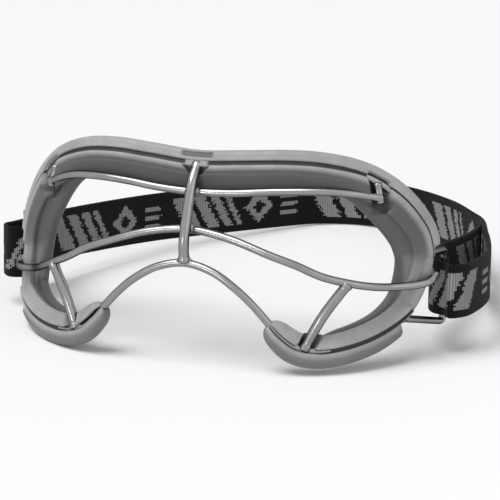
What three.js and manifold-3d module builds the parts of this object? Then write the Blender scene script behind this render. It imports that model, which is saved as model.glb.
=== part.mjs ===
// Lacrosse goggles: a welded wire cage, a silicone gasket pressed over its rim, and an elastic head strap.
// Millimetres, +Z up. The front faces -Y, right is +X, and the goggles lie on the cheek pads and the strap.
import * as THREE from "three";
import { mergeVertices } from "three/addons/utils/BufferGeometryUtils.js";
import Module from "manifold-3d";

const wasm = await Module();
wasm.setup();

// The mask surface, which every wire and the gasket follow
const HALF_WIDTH = 90; // centre plane to the widest place of the rim
const FRAME_HEIGHT = 88; // table to the top of the gasket
const WRAP_DEPTH = 45; // how far the temples lie behind the front
const WRAP_POWER_SHARE = 3.6; // a flat front that turns back sharply at the temples
const FRONT_Y = -8.5; // the cheeks' front
const LEAN_START = 34; // above this height the front leans back
const LEAN_RISE = 47.3;
const LEAN_DEPTH = 18.7; // how far the brow has leaned back over that rise
const LEAN_POWER_SHARE = 1.5;
const TEMPLE_SPRING = 6; // the sprung frame lies with its right temple up and its left one down
const SPRING_POWER_SHARE = 3.6;
const TEMPLE_RACK = 2.6; // and both temples are pushed to the right above the cheeks
const RACK_FROM_SHARE = 0.22;
const RACK_TO_SHARE = 0.42;
const SLOPE_STEP_SHARE = 0.001; // how finely the surface's slope is taken

// Wires
const RIM_RADIUS = 1.6; // perimeter wire, brow bar and eye bar
const STRUT_RADIUS = 2.1; // centre post and cheek struts
const BROW_STRUT_RADIUS = 1.8;
const LOOP_RADIUS = 1.5; // strap loops
const WELD_GAP = 0.4; // clear space that stands for each weld
const EYE_HOOK_LENGTH = 9; // the eye bar's ends turn back round the rim
const EYE_HOOK_RISE = 2;
const STRUT_BOW = 1.5; // the cheek struts bow forward and inward
const POST_END_SHARE = 0.25; // how far forward the post stands at its ends, and halfway to them
const POST_HALFWAY_SHARE = 0.8;

// Gasket section, measured from the perimeter wire: out over the rim and back towards the face
const GROOVE_GAP = 0.4; // silicone to wire
const MOUTH_WIDTH = 2.5; // the groove's slit, narrower than the wire
const MOUTH_OFFSET = 0.75; // and set outwards of its middle
const LIP_COVER = 1.3; // silicone in front of the wire
const LIP_HEIGHT = 5.2; // outer lip above the wire
const CHEEK_BEAD_EXTRA = 1.6; // the cheek pads' outer bead is fuller
const STRIP_WIDTH_BROW = 10.2; // inner lip inside the wire
const STRIP_WIDTH_TEMPLE = 9;
const STRIP_WIDTH_CHEEK = 6.4;
const STRIP_SETBACK_BROW = 1.9; // how far the strip's free edge lies behind the wire's middle
const STRIP_SETBACK_TEMPLE = -1;
const STRIP_SETBACK_CHEEK = 0.2;
const SKIN = 1.9; // silicone wall
const FLANGE_DEPTH = 8.2; // the soft fin that meets the face
const FLANGE_TIP = 1.3;
const FLANGE_INSET_BROW = 7; // how far the fin leans in
const FLANGE_INSET_TEMPLE = 12;
const FLANGE_INSET_CHEEK = 4.6;
const LIP_STOP = 3.6; // the outer lip stops this far before a loop's root and starts again as far past it
const STRIP_STOP_TOP = 0.5; // the strip stops this far past the loop's upper root
const STRIP_STOP_FOOT = 6; // and starts again this far before its lower one
const BARE_LEDGE = 0.6; // silicone left beside the wire where the lips stop
const BARE_LEVEL = 0.3; // and how far behind the wire's middle it ends
const POST_NOTCH_WIDTH = 12.8; // the strip's V round the top of the post
const POST_NOTCH_DEPTH = 5.6;
const POST_RECESS_WIDTH = 11.4; // the shallow recess in the outer lip above the post
const POST_RECESS_HEIGHT = 2.4;
const POST_RECESS_RISE = 2.3;
const POST_RECESS_DEPTH = 1.5;
const BROW_NOTCH_CLEARANCE = 1.4; // round each strut that passes the strip
const CHEEK_NOTCH_CLEARANCE = 2.2;
const BROW_NOTCH_DROP = 6; // the strip's notches run on below the brow bar
const CHEEK_NOTCH_SHARE = 0.6; // and up along the cheek strut

// The section's corners, as shares of the sizes named with them
const LIP_FRONT_SHARES = [[1, 0.3], [0.93, 0.8], [0.68, 1.05]]; // of the lip's height and the face's depth
const GROOVE_SHARES = [ // of its radius
  [1, -0.32], [1, 0.46], [0.46, 1], [-0.46, 1], [-1, 0.46], [-1, -0.46],
];
const MOUTH_FLOOR_SHARE = 0.6; // of the groove's radius
const STRIP_TOP_SHARE = 0.22; // of the strip's width, where its front starts to fall back
const STRIP_EDGE_SHARES = [[0.96, 0], [1, 0.33], [0.95, 0.8]]; // of the strip's width and the wall
const ROOT_SHARE = 0.5; // of the strip's width: where the fin leaves its back
const ROOT_TEMPLE_SHARE = 0.4; // added over the temple, where the fin goes on from the strip's edge
const FIN_FRONT_SHARE = 0.62; // of the fin's depth
const FIN_BACK_SHARE = 0.6;
const FIN_HEEL_SHARE = 0.4; // of the fin's lean
const BACK_SHARES = [[0.55, 1.12], [0.92, 0.24]]; // of the lip's height and the back's depth
const FIN_LEAST_SHARE = 1.1; // of the back's depth

// Strap
const STRAP_WIDTH = 22.4;
const STRAP_THICKNESS = 1.5;
const STRAP_RISE = 15.2; // lower edge at the loops
const LOOP_STANDOFF = 3; // the loops' bars stand outside the rim
const LOOP_X = HALF_WIDTH + LOOP_STANDOFF;
const LOOP_Y = 47;
const LOOP_RAISE = 1.35; // the right loop stands higher and the left one lower, with their temples
const STRAP_ROLL = Math.atan(LOOP_RAISE / LOOP_X);
const LOOP_CLEARANCE = 2.4; // strap edge to loop arm
const LOOP_BEND = 2.6;
const FOLD_LENGTH = 20; // the folds round the loops are drawn in shares of this
const STRAP_BACK = 166; // loops to the back of the strap
const PAD_LEVEL = 1.1; // the lowest point of the cheek pads, which rests on the table
const STRAP_TILT = Math.asin((STRAP_RISE - PAD_LEVEL) / STRAP_BACK); // so that the back rests there too

// Slider and stitching
const SLIDER_BAR = 2.2;
const SLIDER_SLOT = 4.4;
const SLIDER_RAIL = 2.4;
const SLIDER_GAP = 0.35;
const SLIDER_BAR_THICKNESS = 1.7;
const STITCH_LENGTH = 18;
const STITCH_WIDTH = 3;
const STITCH_THREAD = 0.7;
const STITCH_TURNS = 9;

// Facets
const RIM_STATIONS = 144;
const WIRE_FACETS = 5; // half the sides of a wire
const BROW_STEPS = 40;
const EYE_STEPS = 72;
const POST_STEPS = 14;
const CHEEK_STEPS = 8;
const LOOP_STEPS = 30;
const STRAP_STEPS = 200;
const SCAN_SAMPLES = 4; // samples between stations when a nearest place is looked for
const EDGE_SEGMENTS = 3;
const EDGE_SHARE = 0.3; // rounding of the slider's edges
const MERGE_DISTANCE = 1e-3;

const SIDES = [["left", -1], ["right", 1]];

const steel = { color: 0xb9b8b4, roughness: 0.28, metalness: 1 };
const silicone = { color: 0x858284, roughness: 0.55, metalness: 0 };
const webbing = { color: 0x161617, roughness: 0.9, metalness: 0 };
const plastic = { color: 0x121213, roughness: 0.45, metalness: 0 };
const thread = { color: 0x1c1c1e, roughness: 0.8, metalness: 0 };

const goggles = new THREE.Group();
const strapGroup = new THREE.Group();
strapGroup.rotation.set(-STRAP_TILT, -STRAP_ROLL, 0);
strapGroup.position.set(0, LOOP_Y, STRAP_RISE);
goggles.add(strapGroup);
goggles.updateMatrixWorld(true);

const clearances = []; // the wires' room in the silicone

// Names the geometry as one piece of the object and adds it to a group.
function addPart(name, geometry, finish, group = goggles) {
  const mesh = new THREE.Mesh(geometry, new THREE.MeshStandardMaterial(finish));
  mesh.name = name;
  group.add(mesh);
  return mesh;
}

// Rises smoothly from 0 to 1 as a value goes from one bound to the other.
function ease(value, from, to) {
  return THREE.MathUtils.smoothstep(value, from, to);
}

// Depth of the mask surface at a place of the front view.
function maskDepth(x, z) {
  const lean = Math.max(z - LEAN_START, 0) / LEAN_RISE;
  const wrap = Math.abs(x) / HALF_WIDTH;
  return FRONT_Y + LEAN_DEPTH * lean ** LEAN_POWER_SHARE + WRAP_DEPTH * wrap ** WRAP_POWER_SHARE;
}

// Unit normal of the mask surface, towards the face.
function maskNormal(x, z) {
  const step = HALF_WIDTH * SLOPE_STEP_SHARE;
  const slopeX = (maskDepth(x + step, z) - maskDepth(x - step, z)) / (2 * step);
  const slopeZ = (maskDepth(x, z + step) - maskDepth(x, z - step)) / (2 * step);
  return new THREE.Vector3(-slopeX, 1, -slopeZ).normalize();
}

// A point in front of or behind the mask surface, at shares of its half width and height.
function maskPoint(xShare, zShare, behind = 0) {
  const x = xShare * HALF_WIDTH;
  const z = zShare * FRAME_HEIGHT;
  const point = new THREE.Vector3(x, maskDepth(x, z), z).addScaledVector(maskNormal(x, z), behind);
  point.z += TEMPLE_SPRING * xShare * Math.abs(xShare) ** (SPRING_POWER_SHARE - 1);
  point.x += TEMPLE_RACK * xShare * xShare * ease(zShare, RACK_FROM_SHARE, RACK_TO_SHARE);
  return point;
}

// Front-view outlines of the right half, from the centre plane outwards, in shares of half width and height
const RIM_SHARES = [
  [0, 0.92], [0.22, 0.934], [0.4, 0.943], [0.555, 0.931], [0.69, 0.888], [0.78, 0.829],
  [0.857, 0.747], [0.918, 0.648], [0.958, 0.551], [0.976, 0.44], [0.969, 0.318], [0.936, 0.21],
  [0.848, 0.145], [0.722, 0.112], [0.6, 0.108], [0.511, 0.134], [0.444, 0.19], [0.389, 0.254],
  [0.322, 0.33], [0.244, 0.401], [0.133, 0.468], [0, 0.497],
];
const BROW_SHARES = [
  [0, 0.802], [0.178, 0.809], [0.322, 0.822], [0.478, 0.827], [0.611, 0.818], [0.7, 0.798], [0.793, 0.763],
];
const TEE_SHARE = [0.708, 0.416];
const EYE_SHARES = [
  [0, 0.644], [0.122, 0.632], [0.233, 0.608], [0.378, 0.56], [0.5, 0.515], [0.606, 0.46],
  TEE_SHARE, [0.789, 0.38], [0.87, 0.347], [0.962, 0.333],
];
const CHEEK_FOOT_SHARE = [0.545, 0.115];
const BROW_STRUT_TOP_SHARE = [0.778, 0.862];
const LOOP_ROOT_SHARES = [[0.9, 0.2], [0.972, 0.452]];

// The strap's path seen from above, from its left sewn end round both loops to its right sewn end. The folds
// are places outside and behind a loop's bar, in shares of the fold's length. The rest is in shares of the
// loops' half spacing and of the distance to the back.
const LEFT_FOLD_SHARES = [[-0.055, 1.3], [-0.02, 0.9], [-0.1, 0.5], [-0.1, -0.13], [0.24, -0.315]];
const SLIDER_RUN_SHARES = [[0.505, -0.02], [-0.02, 2]]; // the straight run that the slider travels on
const SLIDER_RUN_STEPS = 8;
const BACK_OF_HEAD_SHARES = [
  [-0.86, 0.422], [-0.72, 0.566], [-0.527, 0.705], [-0.323, 0.849], [-0.129, 0.964], [0.054, 1],
  [0.237, 0.982], [0.409, 0.922], [0.559, 0.849], [0.71, 0.753], [0.839, 0.639], [0.93, 0.552],
];
const RIGHT_FOLD_SHARES = [
  [0.1, 3.25], [0.4, 2.25], [0.62, 1.3], [0.635, 0.35], [0.525, -0.3], [0.3, -0.545], [0.12, -0.33],
  [-0.1, -0.22], [-0.25, -0.02], [-0.38, 0.45], [-0.46, 1.05], [-0.42, 1.65], [-0.28, 2.3], [-0.2, 3],
  [-0.2, 3.55], [-0.235, 4.02],
];
const SLIDER_PLACE_SHARE = 0.56;
const LEFT_TACK_SHARE = [-0.03, 1.15];
const RIGHT_TACK_SHARE = [-0.215, 3.85];

// Shares of the way along the rim, from the middle of the brow to the middle of the nose
const TEMPLE_FROM_SHARE = 0.2;
const TEMPLE_TO_SHARE = 0.36;
const CHEEK_FROM_SHARE = 0.42;
const CHEEK_TO_SHARE = 0.62;
const GASKET_END_SHARE = 0.825;
const TIP_ROUND_SHARE = 0.07;
const TIP_NARROWING_SHARE = 0.3;
const FIN_FROM_SHARE = 0.68; // the fin runs out towards the nose
const FIN_TO_SHARE = 0.79;
const FIN_LOSS_SHARE = 0.72;

// Both halves of a symmetrical outline, from the left end to the right one.
function mirrored(shares, behind = 0) {
  const right = shares.map(([x, z]) => maskPoint(x, z, behind));
  const left = shares.slice(1).map(([x, z]) => maskPoint(-x, z, behind));
  return [...left.reverse(), ...right];
}

const rimRight = RIM_SHARES.map(([x, z]) => maskPoint(x, z));
const rimLeft = RIM_SHARES.slice(1, -1).map(([x, z]) => maskPoint(-x, z));
const rimCurve = new THREE.CatmullRomCurve3([...rimRight, ...rimLeft.reverse()], true, "centripetal");

function circle(radius) {
  return new THREE.Shape().absarc(0, 0, radius, 0, 2 * Math.PI);
}

// A round wire along a curve, closed by a flat face at each end.
function wireAlong(curve, radius, steps) {
  return new THREE.ExtrudeGeometry(circle(radius), {
    steps, extrudePath: curve, curveSegments: WIRE_FACETS, bevelEnabled: false,
  });
}

function wireThrough(points, radius, steps) {
  return wireAlong(new THREE.CatmullRomCurve3(points, false, "centripetal"), radius, steps);
}

// Finds the perimeter wire's point nearest to a place, its direction and its share of the way to the nose.
function nearestOnRim(target) {
  let best = { gap: Infinity };
  for (let i = 0; i < RIM_STATIONS * SCAN_SAMPLES; i++) {
    const u = i / (RIM_STATIONS * SCAN_SAMPLES);
    const point = rimCurve.getPointAt(u);
    const gap = point.distanceTo(target);
    if (gap < best.gap) best = { gap, point, u };
  }
  return { ...best, tangent: rimCurve.getTangentAt(best.u), share: 2 * Math.min(best.u, 1 - best.u) };
}

// The end of a wire that comes from a place and butts against another wire, short of it by the weld's gap.
function weldEnd(from, wire, wireRadius, ownRadius) {
  const direction = from.clone().sub(wire.point).normalize();
  const slant = Math.abs(direction.dot(wire.tangent));
  const stop = (wireRadius + WELD_GAP + ownRadius * slant) / Math.sqrt(1 - slant * slant);
  return wire.point.clone().addScaledVector(direction, stop);
}

// The point at a distance before b on the line from a to b.
function stopShort(a, b, distance) {
  return b.clone().add(a.clone().sub(b).setLength(distance));
}

function addRim() {
  const geometry = new THREE.TubeGeometry(rimCurve, RIM_STATIONS, RIM_RADIUS, 2 * WIRE_FACETS, true);
  addPart("perimeter_wire", geometry, steel);
}

// The brow bar runs in front of the inner lip and butts against a strut at each end.
function addBrow() {
  const points = mirrored(BROW_SHARES);
  for (const [name, side] of SIDES) {
    const [footX, footZ] = BROW_SHARES.at(-1);
    const [topX, topZ] = BROW_STRUT_TOP_SHARE;
    const foot = maskPoint(side * footX, footZ - RIM_RADIUS / FRAME_HEIGHT);
    const top = weldEnd(foot, nearestOnRim(maskPoint(side * topX, topZ)), RIM_RADIUS, BROW_STRUT_RADIUS);
    addPart("brow_strut_" + name, wireThrough([foot, top], BROW_STRUT_RADIUS, 2), steel);
    const strut = { point: foot, tangent: top.clone().sub(foot).normalize() };
    const [end, next] = side < 0 ? [0, 1] : [points.length - 1, points.length - 2];
    points[end] = weldEnd(points[next], strut, BROW_STRUT_RADIUS, RIM_RADIUS);
  }
  addPart("brow_bar", wireThrough(points, RIM_RADIUS, BROW_STEPS), steel);
  clearances.push(wireThrough(points, RIM_RADIUS + GROOVE_GAP, BROW_STEPS));
}

// The eye bar crosses both openings in front of the rim, and its ends hook back beside it.
function addEyeBar() {
  const points = mirrored(EYE_SHARES);
  const [endX, endZ] = EYE_SHARES.at(-1);
  const clear = -2 * (RIM_RADIUS + WELD_GAP);
  const bends = SIDES.map(([, side]) => maskPoint(side * endX, endZ, clear));
  const tips = SIDES.map(([, side], i) => bends[i].clone().add(
    new THREE.Vector3(side * RIM_RADIUS, EYE_HOOK_LENGTH, EYE_HOOK_RISE)));
  const path = [tips[0], bends[0], ...points.slice(1, -1), bends[1], tips[1]];
  addPart("eye_bar", wireThrough(path, RIM_RADIUS, EYE_STEPS), steel);
  clearances.push(wireThrough(path, RIM_RADIUS + GROOVE_GAP, EYE_STEPS));
}

// The centre post stands on the nose wire and passes in front of the eye bar and the brow bar.
function addCentrePost() {
  const front = -(RIM_RADIUS + WELD_GAP + STRUT_RADIUS);
  const eyeZ = EYE_SHARES[0][1];
  const browZ = BROW_SHARES[0][1];
  const clear = (RIM_RADIUS + WELD_GAP) / FRAME_HEIGHT;
  const low = RIM_SHARES.at(-1)[1] + clear;
  const high = RIM_SHARES[0][1] - clear;
  const path = [
    maskPoint(0, low, front * POST_END_SHARE),
    maskPoint(0, (low + eyeZ) / 2, front * POST_HALFWAY_SHARE),
    maskPoint(0, eyeZ, front),
    maskPoint(0, browZ, front),
    maskPoint(0, (browZ + high) / 2, front * POST_HALFWAY_SHARE),
    maskPoint(0, high, front * POST_END_SHARE),
  ];
  addPart("centre_post", wireThrough(path, STRUT_RADIUS, POST_STEPS), steel);
  clearances.push(wireThrough(path, STRUT_RADIUS + GROOVE_GAP, POST_STEPS));
}

// A strut under each eye, from the eye bar down to the rim, bowed a little forward and inward.
function addCheekStruts() {
  for (const [name, side] of SIDES) {
    const tee = maskPoint(side * TEE_SHARE[0], TEE_SHARE[1]);
    const besideTee = maskPoint(side * EYE_SHARES.at(-2)[0], EYE_SHARES.at(-2)[1]);
    const bar = { point: tee, tangent: besideTee.sub(tee).normalize() };
    const rim = nearestOnRim(maskPoint(side * CHEEK_FOOT_SHARE[0], CHEEK_FOOT_SHARE[1]));
    const lean = new THREE.Vector3(-side, -1, 0).setLength(STRUT_BOW);
    const bow = tee.clone().add(rim.point).divideScalar(2).add(lean);
    const top = weldEnd(bow, bar, RIM_RADIUS, STRUT_RADIUS);
    const foot = weldEnd(bow, rim, RIM_RADIUS, STRUT_RADIUS);
    addPart("cheek_strut_" + name, wireThrough([top, bow, foot], STRUT_RADIUS, CHEEK_STEPS), steel);
  }
}

// A strap loop is a U of wire whose closed end is the bar that the strap folds round.
function addStrapLoops() {
  const beyond = LOOP_CLEARANCE + LOOP_RADIUS;
  for (const [name, side] of SIDES) {
    const corners = [-beyond, STRAP_WIDTH + beyond].map((h) =>
      strapGroup.localToWorld(new THREE.Vector3(side * LOOP_X, 0, h)));
    const roots = LOOP_ROOT_SHARES.map(([x, z], i) =>
      weldEnd(corners[i], nearestOnRim(maskPoint(side * x, z)), RIM_RADIUS, LOOP_RADIUS));
    const path = new THREE.CurvePath();
    const bends = [
      [stopShort(roots[0], corners[0], LOOP_BEND), corners[0], stopShort(corners[1], corners[0], LOOP_BEND)],
      [stopShort(corners[0], corners[1], LOOP_BEND), corners[1], stopShort(roots[1], corners[1], LOOP_BEND)],
    ];
    path.add(new THREE.LineCurve3(roots[0], bends[0][0]));
    path.add(new THREE.QuadraticBezierCurve3(...bends[0]));
    path.add(new THREE.LineCurve3(bends[0][2], bends[1][0]));
    path.add(new THREE.QuadraticBezierCurve3(...bends[1]));
    path.add(new THREE.LineCurve3(bends[1][2], roots[1]));
    addPart("strap_loop_" + name, wireAlong(path, LOOP_RADIUS, LOOP_STEPS), steel);
    clearances.push(wireAlong(path, LOOP_RADIUS + GROOVE_GAP, LOOP_STEPS));
  }
}

// How the gasket's section varies along one half of the rim, by share of the way from the brow to the nose.
function gasketPlace(share) {
  const cheek = ease(share, CHEEK_FROM_SHARE, CHEEK_TO_SHARE);
  const temple = ease(share, TEMPLE_FROM_SHARE, TEMPLE_TO_SHARE) * (1 - cheek);
  const brow = 1 - temple - cheek;
  const blend = (atBrow, atTemple, atCheek) => atBrow * brow + atTemple * temple + atCheek * cheek;
  const tip = Math.max(share - GASKET_END_SHARE + TIP_ROUND_SHARE, 0) / TIP_ROUND_SHARE;
  return {
    temple,
    inset: blend(FLANGE_INSET_BROW, FLANGE_INSET_TEMPLE, FLANGE_INSET_CHEEK),
    strip: blend(STRIP_WIDTH_BROW, STRIP_WIDTH_TEMPLE, STRIP_WIDTH_CHEEK),
    setback: blend(STRIP_SETBACK_BROW, STRIP_SETBACK_TEMPLE, STRIP_SETBACK_CHEEK),
    bead: CHEEK_BEAD_EXTRA * cheek,
    round: 1 - TIP_NARROWING_SHARE * tip * tip,
    fin: 1 - FIN_LOSS_SHARE * ease(share, FIN_FROM_SHARE, FIN_TO_SHARE),
  };
}

// The gasket's section at one place, as [outwards, backwards] from the wire: the outer lip, the groove that
// holds the wire behind its slit, the strip, and the thin fin that meets the face.
function gasketSection({ temple, inset, strip, setback, bead, round, fin }) {
  const hole = RIM_RADIUS + GROOVE_GAP;
  const inner = MOUTH_OFFSET - MOUTH_WIDTH / 2;
  const outer = MOUTH_OFFSET + MOUTH_WIDTH / 2;
  const face = -(hole + LIP_COVER);
  const out = (LIP_HEIGHT + bead) * round;
  const wide = strip * round;
  const back = hole + SKIN;
  const depth = FLANGE_DEPTH * fin;
  const lean = inset * fin;
  const finEnd = Math.max(depth, back * FIN_LEAST_SHARE);
  return [
    ...LIP_FRONT_SHARES.map(([a, b]) => [out * a, face * b]),
    [outer, face], [outer, -hole * MOUTH_FLOOR_SHARE],
    ...GROOVE_SHARES.map(([a, b]) => [hole * a, hole * b]),
    [inner, -hole], [inner, face], [-wide * STRIP_TOP_SHARE, face],
    ...STRIP_EDGE_SHARES.map(([a, b]) => [-wide * a, setback + SKIN * b]),
    [-wide * (ROOT_SHARE + ROOT_TEMPLE_SHARE * temple), back + (setback + SKIN - back) * temple],
    [-lean - FLANGE_TIP, Math.max(depth * FIN_FRONT_SHARE, back)],
    [-lean - FLANGE_TIP / 2, finEnd],
    [-lean + FLANGE_TIP / 2, finEnd + FLANGE_TIP / 3],
    [-lean * FIN_HEEL_SHARE + FLANGE_TIP, Math.max(depth * FIN_BACK_SHARE, back * FIN_LEAST_SHARE)],
    ...BACK_SHARES.map(([a, b]) => [out * a, back * b]),
  ];
}

// A closed skin over rings of 3-D points, whose two end rings are closed by their flat outlines.
function loft(rings, firstOutline, lastOutline) {
  const count = rings[0].length;
  const index = [];
  for (let r = 0; r + 1 < rings.length; r++) {
    for (let k = 0; k < count; k++) {
      const a = r * count + k;
      const b = r * count + ((k + 1) % count);
      index.push(a, b, a + count, b, b + count, a + count);
    }
  }
  const base = (rings.length - 1) * count;
  for (const face of THREE.ShapeUtils.triangulateShape(firstOutline, [])) index.push(...face);
  for (const face of THREE.ShapeUtils.triangulateShape(lastOutline, [])) {
    index.push(...face.reverse().map((corner) => base + corner));
  }
  const geometry = new THREE.BufferGeometry().setFromPoints(rings.flat());
  geometry.setIndex(index);
  return geometry;
}

// A solid that follows the rim between two stations, with a section of its own at each.
function alongRim(first, last, sectionAt) {
  const rings = [];
  const outlines = [];
  for (let i = first; i < last + 0.5; i++) {
    const u = (i / RIM_STATIONS + 1) % 1;
    const centre = rimCurve.getPointAt(u);
    const tangent = rimCurve.getTangentAt(u);
    const back = maskNormal(centre.x, centre.z).projectOnPlane(tangent).normalize();
    const out = tangent.clone().cross(back);
    const section = sectionAt((2 * Math.abs(i)) / RIM_STATIONS);
    outlines.push(section.map(([a, b]) => new THREE.Vector2(a, b)));
    rings.push(section.map(([a, b]) => centre.clone().addScaledVector(out, a).addScaledVector(back, b)));
  }
  return loft(rings, outlines[0], outlines.at(-1));
}

// The gasket covers the rim from one cheek pad's tip over the brow to the other's.
function gasketBody() {
  const last = Math.round((GASKET_END_SHARE * RIM_STATIONS) / 2);
  return alongRim(-last, last, (share) => gasketSection(gasketPlace(share)));
}

// Cuts away the part of the section that an outline holds, from before one place of the rim to past another.
function cutAlongRim(side, [from, to], [before, past], outline) {
  const whole = rimCurve.getLength() / RIM_STATIONS;
  const ends = [from.share * RIM_STATIONS / 2 - before / whole, to.share * RIM_STATIONS / 2 + past / whole];
  const [first, last] = side < 0 ? [-ends[1], -ends[0]] : ends;
  return alongRim(first, last, () => outline);
}

// Beside the strap loop the outer lip and the strip stop, and the wire shows in the silicone behind it.
function bareCutters(side) {
  const reach = STRIP_WIDTH_BROW + SKIN;
  const seat = RIM_RADIUS + GROOVE_GAP;
  const ledge = seat + BARE_LEDGE;
  const roots = LOOP_ROOT_SHARES.map(([x, z]) => nearestOnRim(maskPoint(side * x, z))).reverse();
  return [
    cutAlongRim(side, roots, [LIP_STOP, LIP_STOP], [
      [reach, -reach], [MOUTH_OFFSET, -reach], [MOUTH_OFFSET, seat],
      [SKIN / 2, seat], [SKIN / 2, reach], [reach, reach],
    ]),
    cutAlongRim(side, roots, [-STRIP_STOP_TOP, -STRIP_STOP_FOOT], [
      [seat, -reach], [-reach, -reach], [-reach, seat],
      [-ledge, seat], [-ledge, BARE_LEVEL], [seat, BARE_LEVEL],
    ]),
  ];
}

function toSolid(geometry) {
  const bare = geometry.index ? geometry.toNonIndexed() : geometry.clone();
  bare.deleteAttribute("normal");
  bare.deleteAttribute("uv");
  const merged = mergeVertices(bare, MERGE_DISTANCE);
  return new wasm.Manifold(new wasm.Mesh({
    numProp: 3,
    vertProperties: merged.attributes.position.array,
    triVerts: new Uint32Array(merged.index.array),
  }));
}

function toGeometry(solid) {
  const mesh = solid.getMesh();
  const geometry = new THREE.BufferGeometry();
  geometry.setAttribute("position", new THREE.BufferAttribute(mesh.vertProperties, 3));
  geometry.setIndex(new THREE.BufferAttribute(mesh.triVerts, 1));
  geometry.computeVertexNormals();
  return geometry;
}

// A notch cutter: a trapezium of the front view, widest at its foot, driven back into the silicone.
function notchCutter(foot, top, footWidth, topWidth, front, back) {
  const up = top.clone().sub(foot);
  const height = up.length();
  const shape = new THREE.Shape([
    new THREE.Vector2(-footWidth / 2, 0), new THREE.Vector2(footWidth / 2, 0),
    new THREE.Vector2(topWidth / 2, height), new THREE.Vector2(-topWidth / 2, height),
  ]);
  const cutter = new THREE.ExtrudeGeometry(shape, { depth: front + back, bevelEnabled: false });
  const yAxis = up.normalize();
  const zAxis = maskNormal(foot.x, foot.z).projectOnPlane(yAxis).normalize();
  const xAxis = yAxis.clone().cross(zAxis);
  const place = new THREE.Matrix4().makeBasis(xAxis, yAxis, zAxis);
  place.setPosition(foot.clone().addScaledVector(zAxis, -front));
  return cutter.applyMatrix4(place);
}

// The gasket with its notches: round the centre post, the brow struts and the cheek struts.
function addGasket() {
  let solid = toSolid(gasketBody());
  const rimZ = RIM_SHARES[0][1];
  const seat = RIM_RADIUS + GROOVE_GAP;
  const front = seat + LIP_COVER + SKIN;
  const above = (rise) => maskPoint(0, rimZ + rise / FRAME_HEIGHT);
  const cuts = [
    notchCutter(above(-POST_NOTCH_DEPTH), above(0), 2 * STRUT_RADIUS, POST_NOTCH_WIDTH, front, seat),
    notchCutter(above(POST_RECESS_RISE), above(POST_RECESS_RISE + POST_RECESS_HEIGHT), POST_RECESS_WIDTH,
      POST_RECESS_WIDTH, front, POST_RECESS_DEPTH - seat - LIP_COVER),
  ];
  for (const [, side] of SIDES) {
    cuts.push(...bareCutters(side));
    const [footX, footZ] = BROW_SHARES.at(-1);
    const [topX, topZ] = BROW_STRUT_TOP_SHARE;
    const browFoot = maskPoint(side * footX, footZ - BROW_NOTCH_DROP / FRAME_HEIGHT);
    const browWidth = 2 * (BROW_STRUT_RADIUS + BROW_NOTCH_CLEARANCE);
    const browTop = nearestOnRim(maskPoint(side * topX, topZ)).point;
    cuts.push(notchCutter(browFoot, browTop, browWidth, browWidth, front, BROW_STRUT_RADIUS + GROOVE_GAP));
    const tee = maskPoint(side * TEE_SHARE[0], TEE_SHARE[1]);
    const rim = nearestOnRim(maskPoint(side * CHEEK_FOOT_SHARE[0], CHEEK_FOOT_SHARE[1])).point;
    const cheekWidth = 2 * (STRUT_RADIUS + CHEEK_NOTCH_CLEARANCE);
    cuts.push(notchCutter(rim.clone().lerp(tee, CHEEK_NOTCH_SHARE), rim, cheekWidth, cheekWidth, front,
      STRUT_RADIUS + GROOVE_GAP));
  }
  for (const cut of [...cuts, ...clearances]) solid = solid.subtract(toSolid(cut));
  const crumbsLast = solid.decompose().sort((a, b) => b.volume() - a.volume());
  addPart("face_gasket", toGeometry(crumbsLast[0]), silicone);
}

// A place of the strap's path beside a loop's bar, on the left (-1) or the right (1).
function besideLoop(side, [outside, behind]) {
  return new THREE.Vector3(side * (LOOP_X + outside * FOLD_LENGTH), behind * FOLD_LENGTH, 0);
}

// The head strap: one length of flat webbing, folded round both loops.
const sliderRun = new THREE.LineCurve3(...SLIDER_RUN_SHARES.map((place) => besideLoop(-1, place)));
const strapCurve = new THREE.CatmullRomCurve3([
  ...LEFT_FOLD_SHARES.map((place) => besideLoop(-1, place)),
  ...sliderRun.getPoints(SLIDER_RUN_STEPS),
  ...BACK_OF_HEAD_SHARES.map(([x, y]) => new THREE.Vector3(x * LOOP_X, y * STRAP_BACK, 0)),
  ...RIGHT_FOLD_SHARES.map((place) => besideLoop(1, place)),
], false, "centripetal");

function addStrap() {
  const faces = [[], []];
  for (let i = 0; i <= STRAP_STEPS; i++) {
    const point = strapCurve.getPointAt(i / STRAP_STEPS);
    const along = strapCurve.getTangentAt(i / STRAP_STEPS);
    for (const [face, side] of [[0, -1], [1, 1]]) {
      const half = (side * STRAP_THICKNESS) / 2;
      faces[face].push(new THREE.Vector2(point.x - along.y * half, point.y + along.x * half));
    }
  }
  const outline = new THREE.Shape([...faces[0], ...faces[1].reverse()]);
  const band = new THREE.ExtrudeGeometry(outline, { depth: STRAP_WIDTH, bevelEnabled: false });
  addPart("head_strap", band, webbing, strapGroup);
}

function roundedBar(width, thickness, length) {
  const round = thickness * EDGE_SHARE;
  const w = width / 2;
  const t = thickness / 2;
  const shape = new THREE.Shape();
  shape.moveTo(-w + round, -t);
  shape.lineTo(w - round, -t).quadraticCurveTo(w, -t, w, -t + round);
  shape.lineTo(w, t - round).quadraticCurveTo(w, t, w - round, t);
  shape.lineTo(-w + round, t).quadraticCurveTo(-w, t, -w, t - round);
  shape.lineTo(-w, -t + round).quadraticCurveTo(-w, -t, -w + round, -t);
  return new THREE.ExtrudeGeometry(shape, {
    depth: length, curveSegments: EDGE_SEGMENTS, bevelEnabled: false,
  });
}

// A place on the slider's run: x along the webbing towards the back, y away from the head, z up.
function onSliderRun() {
  const xAxis = sliderRun.getTangent(0);
  const up = new THREE.Vector3(0, 0, 1);
  const middle = sliderRun.getPoint(SLIDER_PLACE_SHARE);
  return new THREE.Matrix4().makeBasis(xAxis, up.clone().cross(xAxis), up).setPosition(middle);
}

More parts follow.
